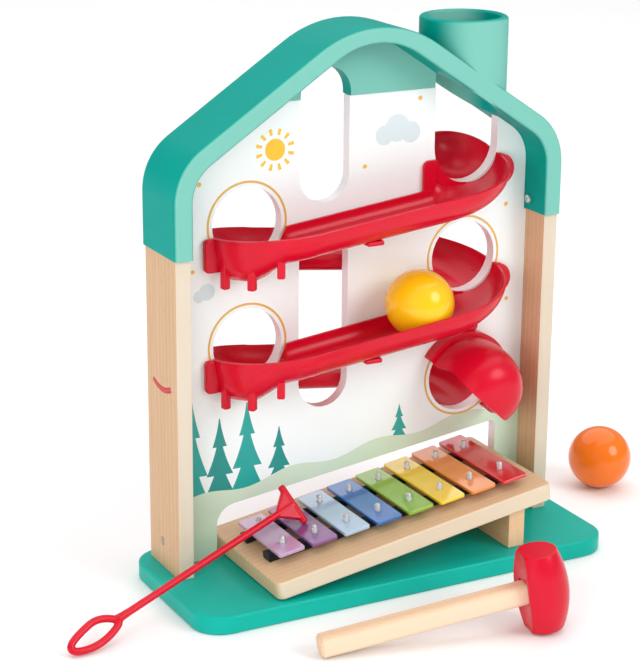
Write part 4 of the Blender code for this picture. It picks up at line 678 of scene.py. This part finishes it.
def easedFloor(levels, along):  # floor with the kinks between bend and run eased
    length = trackShape["turn"] * math.pi + 2 * trackShape["half"]
    reach = min(trackShape["easing"], along, length - along)
    return sum(trackPoint(levels, along + reach * k / 4)[2] for k in range(-4, 5)) / 9


def trackSpot(levels, along, out, height):
    centre, outward, _ = trackPoint(levels, along)
    return centre + outward * out + Vector((0, 0, easedFloor(levels, along) + height))


def buildTrack(levels):
    shape = trackShape
    bend = shape["turn"] * math.pi / 2
    run = 2 * shape["half"]
    outX, outZ, outR, outTop = shape["outer"]
    inX, inZ, inR, inTop = shape["inner"]
    halfWall = shape["wall"] / 2
    topTurn = math.degrees(math.asin((outTop - outZ) / (outR + halfWall)))
    section = arcPoints((outX, outZ), outR + halfWall, topTurn, -90, 14)
    section += [(outX + (inX - outX) * i / 6, -halfWall) for i in range(1, 6)]
    section += arcPoints((inX, inZ), inR + halfWall, -90, -180, 8) + [(inX - inR - halfWall, inTop)]
    rows = [bend * i / shape["bendRows"] for i in range(shape["bendRows"])]
    rows += [bend + run * i / shape["runRows"] for i in range(shape["runRows"])]
    rows += [bend + run + bend * i / shape["bendRows"] for i in range(shape["bendRows"] + 1)]

    def spot(column, row):  # the inner wall starts as high as the outer one
        out, height = section[column]
        if column == len(section) - 1:
            height += (outTop - inTop) * max(0, 1 - rows[row] / shape["innerFade"])
        return trackSpot(levels, rows[row], out, height)
    channel = closeUp(gridSheet(len(section) - 1, len(rows) - 1, spot))
    soften(thicken(channel, shape["wall"], 0.0), shape["rim"], 3, 60)
    extras = []

    def post(along, out, length, width, foot, edge):  # rib whose head is in the channel's wall
        centre, outward, floor = trackPoint(levels, along)
        over = max(0.0, out - outX)
        head = outZ - math.sqrt((outR + halfWall) ** 2 - over ** 2) - 0.2
        middle = centre + outward * out + Vector((0, 0, floor + (head - foot) / 2))
        return block((width, length, head + foot), middle, edge, math.atan2(outward.y, outward.x))
    for angle, depth, out in shape["fins"]:
        along = bend + run + bend * angle / 90
        extras.append(post(along, out, shape["finSize"], shape["finSize"], depth, shape["finEdge"]))
    past, out, length, width, depth = shape["lug"]
    extras.append(post(bend + run / 2 + past, out, length, width, depth, shape["lugEdge"]))
    low, high = shape["cupGrowth"]
    outs = [out for out, in smoothLine([(out,) for out in shape["cupFrom"]], 4)]
    reached = smoothLine(shape["cup"], 4)
    sections = []
    for angle in range(int(low), 91, 3):
        share = min(1, (angle - low) / (high - low))
        share *= share * (3 - 2 * share)
        lower, upper = [], []
        for out, (wide, deep) in zip(outs, reached):
            inWall, face = (outZ - math.sqrt((outR + depth) ** 2 - max(0, out - outX) ** 2) for depth in shape["cupSkin"])
            along = bend + run + bend * angle / 90
            upper.append(trackSpot(levels, along, out, inWall))
            lower.append(trackSpot(levels, along, out + (wide - out) * share, face + (deep - face) * share))
        sections.append(lower + upper[::-1])
    extras.append(closedTube(sections))
    enter, leave = levels[:2]
    ear = arcPoints((outX, outZ), outR + halfWall, shape["earStart"], topTurn, 10)
    far, drop, corner = shape["earReach"], -shape["earDrop"], shape["earCorner"]
    ear = (arcPoints((far - corner, drop + corner), corner, 0, -90, 6) + [(shape["earFoot"], drop)] + ear
           + arcPoints((far - corner, ear[-1][1] - corner), corner, 90, 0, 6))
    firstX, firstZ, firstR = shape["firstEar"]
    first = arcPoints((outX, outZ), outR + halfWall, shape["firstStart"], topTurn, 10)
    first += arcPoints((firstX, firstZ), firstR, 90, -90, 20)
    for outline in ([(-(shape["holeX"] + out), leave + height) for out, height in ear],
                    [(shape["holeX"] + out, enter + height) for out, height in first]):
        plate = outlineBoard(outline, shape["face"] - shape["earDepth"], shape["face"])
        extras.append(soften(plate, shape["earEdge"], 4, 40))
    left, right, deep = shape["innerTab"]
    low, high = trackPoint(levels, bend)[2] + 2, levels[0] + outTop
    radius = 0.45 * (right - left)
    tab = [(left, low), (right, low), (right, high)] + arcPoints((left + radius, high - radius), radius, 90, 180, 10)
    extras.append(soften(outlineBoard(tab, shape["face"] - deep, shape["face"]), shape["tabEdge"], 2, 40))
    level, radius, deep = shape["sill"]  # plate below the hole, between its edge and the channel
    sill = arcPoints((0, level), radius, 197, 270, 16) + [(0, -halfWall)]
    sill += arcPoints((inX, inZ), inR + halfWall, -90, -180, 8) + [(inX - inR - halfWall, outTop)]
    outline = [(shape["holeX"] + out, enter + height) for out, height in sill]
    extras.append(outlineBoard(outline, shape["face"] - deep, shape["face"]))
    combine(channel, "UNION", *extras)
    if levels[3]:
        channel.data.transform(halfTurn)
    return channel


for node, levels in trackLevels.items():
    dress(buildTrack(levels), "red_" + node, "glossMouldedAbsRed", node, 30)
print("ball channels done")

# Hood over the lowest hole and catch bowl behind the highest

hoodShape = {"centre": (79.5, -0.3, 110.247), "radius": 30.4, "wall": 2.2, "reach": 51.5, "fullness": 3.0, "mouth": 228.0,
             "cut": (80, 60),  # how far the mouth is cut out, half the cut's width
             # edge of the mouth: distance from the panel, distance from the hole's axis
             "edge": ((-10.3, 5.8), (6.0, 6.3), (12.4, 7.3), (18.5, 6.3), (25.8, 5.0), (30.9, 5.3), (36.0, 6.4),
                      (41.2, 7.8), (45.3, 8.8), (49.4, 9.6), (61.8, 9.6)),
             "collar": (33.0, 9.0, 4.2), "collarEdge": 1.0, "rim": 0.8,
             "lugs": (0.0, 80.0), "lugAt": 36.0, "lugRadius": 4.5, "lugDepth": 4.5, "lugEdge": (0.8, 0.25)}
bowlShape = {"centre": (79.5, 8.3, 268.747), "inner": 25.0, "wall": 2.0, "rimDrop": 6.7, "rimTilt": 0.36,
             "strap": (78.0, 3.0, 9.0), "strapCorner": 3.5, "strapEdge": 0.5, "strapDrop": 0.3, "strapRoom": 0.4,
             "rim": 0.7}


def sliced(obj, spot, away):  # drops what lies on the far side of a plane
    edit(obj)
    bpy.ops.mesh.bisect(plane_co=Vector(spot) * mm, plane_no=away, clear_outer=True)
    return leaveEdit(obj)


def drawnBall(radius, reach, centre, fullness=2.0):  # poles along y, drawn out to a reach, shoulders fuller above 2
    bpy.ops.mesh.primitive_uv_sphere_add(segments=80, ring_count=48, radius=1)
    obj = bpy.context.object
    for vert in obj.data.vertices:
        x, y, z = vert.co
        fuller = max(math.hypot(x, y), 1e-6) ** (2 / fullness - 1) * radius
        vert.co = (x * fuller, y * fuller, math.copysign(abs(z) ** (2 / fullness), z) * reach)
    return moved(obj, centre, Matrix.Scale(mm, 4) @ alongY)


def buildHood():
    shape = hoodShape
    centre = Vector(shape["centre"])
    edge = [(off, -away) for away, off in smoothLine(shape["edge"], 4)]
    far, half = shape["cut"]
    mouth = outlineBoard(edge + [(far, edge[-1][1]), (far, edge[0][1])], -half, half)
    facing = math.radians(shape["mouth"])
    across, along = Vector((math.cos(facing), 0, math.sin(facing))), Vector((math.sin(facing), 0, -math.cos(facing)))
    moved(mouth, centre, Matrix((across, along, (0, 1, 0))).transposed().to_4x4())
    dome = sliced(drawnBall(shape["radius"], shape["reach"], centre, shape["fullness"]), centre, (0, 1, 0))
    thicken(closeUp(dome), shape["wall"])
    combine(dome, "DIFFERENCE", copyOf(mouth, Matrix()))
    soften(dome, shape["rim"], 3, 55)
    radius, length, wall = shape["collar"]
    bpy.ops.mesh.primitive_cylinder_add(vertices=80, radius=radius * mm, depth=length * mm, end_fill_type="NOTHING")
    collar = bpy.context.object
    moved(collar, centre - Vector((0, length / 2, 0)), alongY)
    modify(closeUp(collar), "SOLIDIFY", thickness=wall * mm, offset=-1.0, use_even_offset=True)
    combine(collar, "DIFFERENCE", mouth)
    soften(collar, shape["collarEdge"], 3, 55)
    combine(dome, "UNION", collar)
    radius, depth, (edge, ease) = shape["lugRadius"], shape["lugDepth"], shape["lugEdge"]
    for angle in shape["lugs"]:
        turn = math.radians(angle)
        spot = centre + Vector((math.cos(turn), 0, math.sin(turn))) * shape["lugAt"]
        lug = turnedPiece(((0, radius), (depth - edge, radius), (depth - ease, radius - ease), (depth, radius - edge)), 32)
        combine(dome, "UNION", moved(lug, spot, forwards))
    return dome


def buildBowl():
    shape = bowlShape
    centre = Vector(shape["centre"])
    rim = centre - Vector((0, 0, shape["rimDrop"]))
    radius = shape["inner"] + shape["wall"]
    bowl = drawnBall(radius, radius, centre)
    sliced(sliced(bowl, centre, (0, -1, 0)), rim, Vector((0, -shape["rimTilt"], 1)).normalized())
    soften(thicken(closeUp(bowl), shape["wall"]), shape["rim"], 3, 55)
    _, depth, height = shape["strap"]
    strap = block(shape["strap"], rim + Vector((0, depth / 2, -height / 2 - shape["strapDrop"])))
    bevelEdges(strap, shape["strapCorner"], 6, lambda a, b: abs(a.y - b.y) > mm)
    soften(strap, shape["strapEdge"], 2)
    room = shape["inner"] + shape["strapRoom"]
    combine(strap, "DIFFERENCE", drawnBall(room, room, centre))
    return combine(bowl, "UNION", strap)


dress(buildHood(), "red_exit_hood", "glossMouldedAbsRed", "exit_hood", 30)
dress(buildBowl(), "red_catch_bowl", "glossMouldedAbsRed", "catch_bowl", 30)
print("hood and bowl done")

# Xylophone, in a frame along its board: x up the slope, z square to the board

xyloFrame = frameAt((-96.0, 0, 12.3), (-9, "Y"))
boardShape = {"size": (204.0, 101.0, 12.0), "middle": (102.0, -29.0, 6.0), "corner": 5.0, "edge": 1.4}
barShape = {"first": 21.99, "pitch": 22.86, "width": 18.5, "low": 17.6, "thick": 2.5, "corner": 1.7, "edge": 0.6,
            "longest": 83.0, "step": 3.1, "pinShare": 0.276, "hole": 2.2, "holeSpan": (10, 30), "middleY": -29.0}
feltShape = {"low": 12.3, "thick": 5.0, "width": 9.0, "overLeft": 12.5, "overRight": 9.6, "press": 0.25, "rows": 150,
             # half the section from foot to crown: share of the half width, share of the height
             "side": ((1.0, 0), (1.0, 0.45), (0.97, 0.85), (0.86, 0.98), (0.5, 1))}
pinShape = {"nail": ((4.0, 0.3), (5.2, 1.1), (23.7, 1.1), (23.7, 1.6), (23.9, 1.85), (24.3, 1.8), (24.8, 1.3), (25.1, 0.6)),
            "sleeve": (1.2, 1.8, 17.6, 23.6), "sleeveEdge": 0.25}

board = roundedBoard(boardShape["size"], boardShape["middle"], boardShape["corner"], boardShape["edge"], 6)
board.data.transform(xyloFrame)
dress(board, "sloped_board", "mattLacqueredPaleWood", "xylophone_board")


def barSize(index):
    return barShape["longest"] - barShape["step"] * (7 - index)


def pinSpot(index, end):
    off = end * barShape["pinShare"] * barSize(index)
    return Vector((barShape["first"] + barShape["pitch"] * index, barShape["middleY"] + off, 0))


nail = turnedPiece(pinShape["nail"], 20)
inner, outer, low, high = pinShape["sleeve"]
bpy.ops.mesh.primitive_cylinder_add(vertices=24, radius=outer * mm, depth=(high - low) * mm, end_fill_type="NOTHING",
                                    location=(0, 0, (low + high) / 2 * mm))
sleeve = closeUp(settle(bpy.context.object))
modify(sleeve, "SOLIDIFY", thickness=(outer - inner) * mm, offset=-1.0)
soften(sleeve, pinShape["sleeveEdge"], 2)
for index, bar in enumerate(enamelColors):
    node = "bar_" + bar
    size = (barShape["width"], barSize(index), barShape["thick"])
    middle = (barShape["first"] + barShape["pitch"] * index, barShape["middleY"], barShape["low"] + barShape["thick"] / 2)
    piece = roundedBoard(size, middle, barShape["corner"], barShape["edge"], 6)
    for end in (-1, 1):
        hole = turnedPiece([(height, barShape["hole"]) for height in barShape["holeSpan"]], 24)
        combine(piece, "DIFFERENCE", moved(hole, pinSpot(index, end)))
    piece.data.transform(xyloFrame)
    dress(piece, "tone_" + node, "glossEnamelledSteel_" + bar, node)
    for end, row in ((-1, "front"), (1, "rear")):
        place = xyloFrame @ frameAt(pinSpot(index, end))
        dress(copyOf(nail, place), "nail_" + bar + "_" + row, "brightZincPlatedSteel",
              node + "_pin_" + row, 40)
        dress(copyOf(sleeve, place), "sleeve_" + bar + "_" + row, "clearExtrudedVinyl", angle=40)
bpy.data.objects.remove(nail)
bpy.data.objects.remove(sleeve)


def buildFelt(end):  # strip under one row of pins, pressed a little below each bar
    shape = feltShape
    first, last = pinSpot(0, end), pinSpot(7, end)
    lean = (last - first) / (last.x - first.x)
    start = first - lean * shape["overLeft"]
    length = last.x - first.x + shape["overLeft"] + shape["overRight"]
    half, thick = shape["width"] / 2, shape["thick"]
    side = [(share * half, level) for share, level in shape["side"]]
    ring = [(-off, level) for off, level in side] + [(0, 1)] + side[::-1]

    def spot(column, row):
        share = row / shape["rows"]
        y, level = ring[column]
        x = length * share
        nearest = min(abs(start.x + x - pinSpot(i, end).x) for i in range(8))
        dent = shape["press"] if nearest < barShape["width"] / 2 else 0.0
        fuzz = 0.10 * math.sin(row * 2.3 + column * 1.7) + 0.08 * math.sin(row * 5.1 - column * 3.1)
        top = thick - dent + min(0, fuzz)
        return start + lean * x + Vector((0, y * (1 + 0.02 * fuzz), shape["low"] + level * top))
    felt = closedTube([[spot(column, row) for column in range(len(ring))] for row in range(shape["rows"] + 1)])
    felt.data.transform(xyloFrame)
    return felt


for end, row in ((-1, "front"), (1, "rear")):
    dress(buildFelt(end), "felt_under_" + row + "_pins", "pressedWoolFeltBlack", row + "_felt_strip", 50)
print("xylophone done")

# Screws

screwShape = {"head": 3.0, "height": 1.8, "shank": 1.5, "recess": (3.2, 0.8, 1.1),
              "crown": ((1, 0.5), (0.94, 0.75), (0.75, 0.92), (0.4, 1))}  # shares of the head's height and radius
screwPlaces = {  # where the head sits, direction of the shank, length
    **{hand + "_panel_screw": ((side * 135.2, 4, 29.8), (-side, 0, 0), 17.0) for hand, side in hands.items()},
    **{hand + "_roof_screw": ((side * 126.5, -5.5, 229.25), (side, 0, 0), 7.8) for hand, side in hands.items()},
    **{hand + "_post_screw_" + row: ((side * 133.25, y, 2.1), (0, 0, 1), 32.0) for hand, side in hands.items()
       for row, y in (("front", -14), ("rear", 16))},
    "block_screw_front": ((81.99, -57, 2.1), (0, 0, 1), 22.0), "block_screw_rear": ((81.99, -1, 2.1), (0, 0, 1), 22.0),
}


def buildScrew(length):  # pan head with a cross recess, tip upwards
    head, height, shank = screwShape["head"], screwShape["height"], screwShape["shank"]
    profile = [(-share * height, wide * head) for share, wide in screwShape["crown"]]
    profile += [(0, head), (0, shank), (length - 2 * shank, shank), (length, 0.4 * shank)]
    screw = turnedPiece(profile, 24)
    wide, narrow, deep = screwShape["recess"]
    for size in ((wide, narrow, 2 * deep), (narrow, wide, 2 * deep)):
        combine(screw, "DIFFERENCE", block(size, (0, 0, -height)))
    return screw


screwModels = {length: buildScrew(length) for length in sorted({row[2] for row in screwPlaces.values()})}
for node, (seat, direction, length) in screwPlaces.items():
    place = frameAt(seat) @ Vector(direction).to_track_quat("Z", "Y").to_matrix().to_4x4()
    dress(copyOf(screwModels[length], place), "cross_" + node, "brightZincPlatedSteel", node)
for model in screwModels.values():
    bpy.data.objects.remove(model)
print("screws done")

# Loose balls, mallet and rake

ballShape = {"radius": 22.5, "seam": 0.2, "seamDepth": 0.12}
ballPaints = {"yellow_ball": ("glossLacqueredWoodYellow", "yellow_paint"),
              "orange_ball": ("glossLacqueredWoodOrange", "orange_paint")}
malletFrame = frameAt((-98.2, -135.3, 6.9775), (-11.3, "Z"), (-8.404, "Y"))
headShape = {"at": 142.8, "height": 52.0, "end": 13.0, "mid": 17.7, "edge": 1.6, "groove": 45.0, "grooveAt": 87.5,
             "socket": 4.8, "socketEnd": 144.3, "seat": (134.0, 14.1, 28.0), "cutEdge": 0.5}  # seat: end, width, length
rakeFrame = frameAt((-232.0, -69.0, 4.3039), (14.3, "Z"), (-14.6765, "Y"), (51, "X"))
rakeShape = {"length": 184.0, "rod": 2.4, "loop": (17.5, 6.5), "loopAt": 20.0, "bar": 29.0, "web": (14.0, 4.0),
             "voxel": 0.42,
             # swelling where the stem leaves the loop, rounded ends of the bar: place in mm, share of the rod's radius
             "neck": ((36.5, 0.8), (38, 1.25), (42, 1.1), (48, 1)), "barEnd": ((0, 0.4), (0.3, 0.75), (1.0, 1))}


def buildBall(centre):  # turned ball with a fine seam round it
    radius = ballShape["radius"]
    bpy.ops.mesh.primitive_uv_sphere_add(segments=80, ring_count=40, radius=radius * mm)
    ball = bpy.context.object
    bevelEdges(ball, ballShape["seam"], 2, lambda a, b: max(abs(a.z), abs(b.z)) < 1e-6)
    edit(ball, "VERT", lambda v: abs(v.co.z) < 1e-6)
    share = 1 - ballShape["seamDepth"] / radius
    bpy.ops.transform.resize(value=(share, share, 1), center_override=(0, 0, 0))
    leaveEdit(ball)
    ball.data.transform(Matrix.Translation(centre) @ back.to_track_quat("Z", "Y").to_matrix().to_4x4())
    return ball


for node, (paint, slot) in ballPaints.items():
    lowest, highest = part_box(node)
    dress(buildBall((lowest + highest) / 2), "lacquered_" + node, paint, node, 60, node)

dress(fromFrame("mallet_handle"), "beech_handle", "mattLacqueredBeechHandle", "mallet_handle", body="mallet")


def buildHead():
    shape = headShape
    half, edge = shape["height"] / 2, shape["edge"]
    drop = shape["mid"] - shape["end"]
    profile = [(-half, shape["end"] - edge), (-half + 0.3 * edge, shape["end"] - 0.3 * edge)]
    for i in range(-12, 13):
        share = i / 12
        profile.append((share * (half - edge), shape["mid"] - drop * share * share))
    profile += [(half - 0.3 * edge, shape["end"] - 0.3 * edge), (half, shape["end"] - edge)]
    head = moved(turnedPiece(profile, 72), (shape["at"], 0, 0))
    groove = moved(turnedPiece(((-60, shape["groove"]), (60, shape["groove"])), 144), (shape["grooveAt"], 0, 0))
    socket = turnedPiece(((100, shape["socket"]), (shape["socketEnd"], shape["socket"])), 32)
    socket.data.transform(alongX)
    end, width, length = shape["seat"]
    seat = block((length, width, width), (end - length / 2, 0, 0))
    combine(head, "DIFFERENCE", groove, socket, seat)
    soften(head, shape["cutEdge"], 2, 40)
    head.data.transform(malletFrame)
    return head


dress(buildHead(), "red_mallet_head", "glossMouldedAbsRed", "mallet_head", 30, "mallet")


def buildRake():
    shape = rakeShape
    rod, length = shape["rod"], shape["length"]
    bpy.ops.curve.primitive_bezier_circle_add(radius=1)
    loop = bpy.context.object
    wide, narrow = (size * mm for size in shape["loop"])
    for point in loop.data.splines[0].bezier_points:
        point.handle_left_type = point.handle_right_type = "FREE"
        for part in ("co", "handle_left", "handle_right"):
            x, y, _ = getattr(point, part)
            setattr(point, part, (x * wide + shape["loopAt"] * mm, y * narrow, 0))
    loop.data.bevel_depth = rod * mm
    loop.data.bevel_resolution = 8
    loop.data.resolution_u = 24
    takeUp(loop)
    bpy.ops.object.convert(target="MESH")
    loop = closeUp(bpy.context.object)
    stem = turnedPiece([(place, share * rod) for place, share in shape["neck"]] + [(length, rod)], 32)
    stem.data.transform(alongX)
    half = shape["bar"] / 2
    ends = [(half - place, share * rod) for place, share in shape["barEnd"]]
    bar = moved(turnedPiece([(-place, radius) for place, radius in ends] + ends[::-1], 32), (length, 0, 0), alongY)
    long, thick = shape["web"][0], shape["web"][1] / 2
    web = outlineBoard(((length - long, -thick), (length, -half + rod), (length, half - rod), (length - long, thick)),
                       -thick, thick)
    web.data.transform(alongY)
    takeUp(loop, stem, bar, web)
    bpy.ops.object.join()
    rake = bpy.context.object
    modify(rake, "REMESH", mode="VOXEL", voxel_size=shape["voxel"] * mm)
    modify(rake, "SMOOTH", factor=0.5, iterations=6)
    rake.data.transform(rakeFrame)
    return closeUp(rake)


dress(buildRake(), "red_rake", "glossMouldedAbsRed", "rake_stick", 70, "rake")
print("loose pieces done")

bpy.context.view_layer.update()
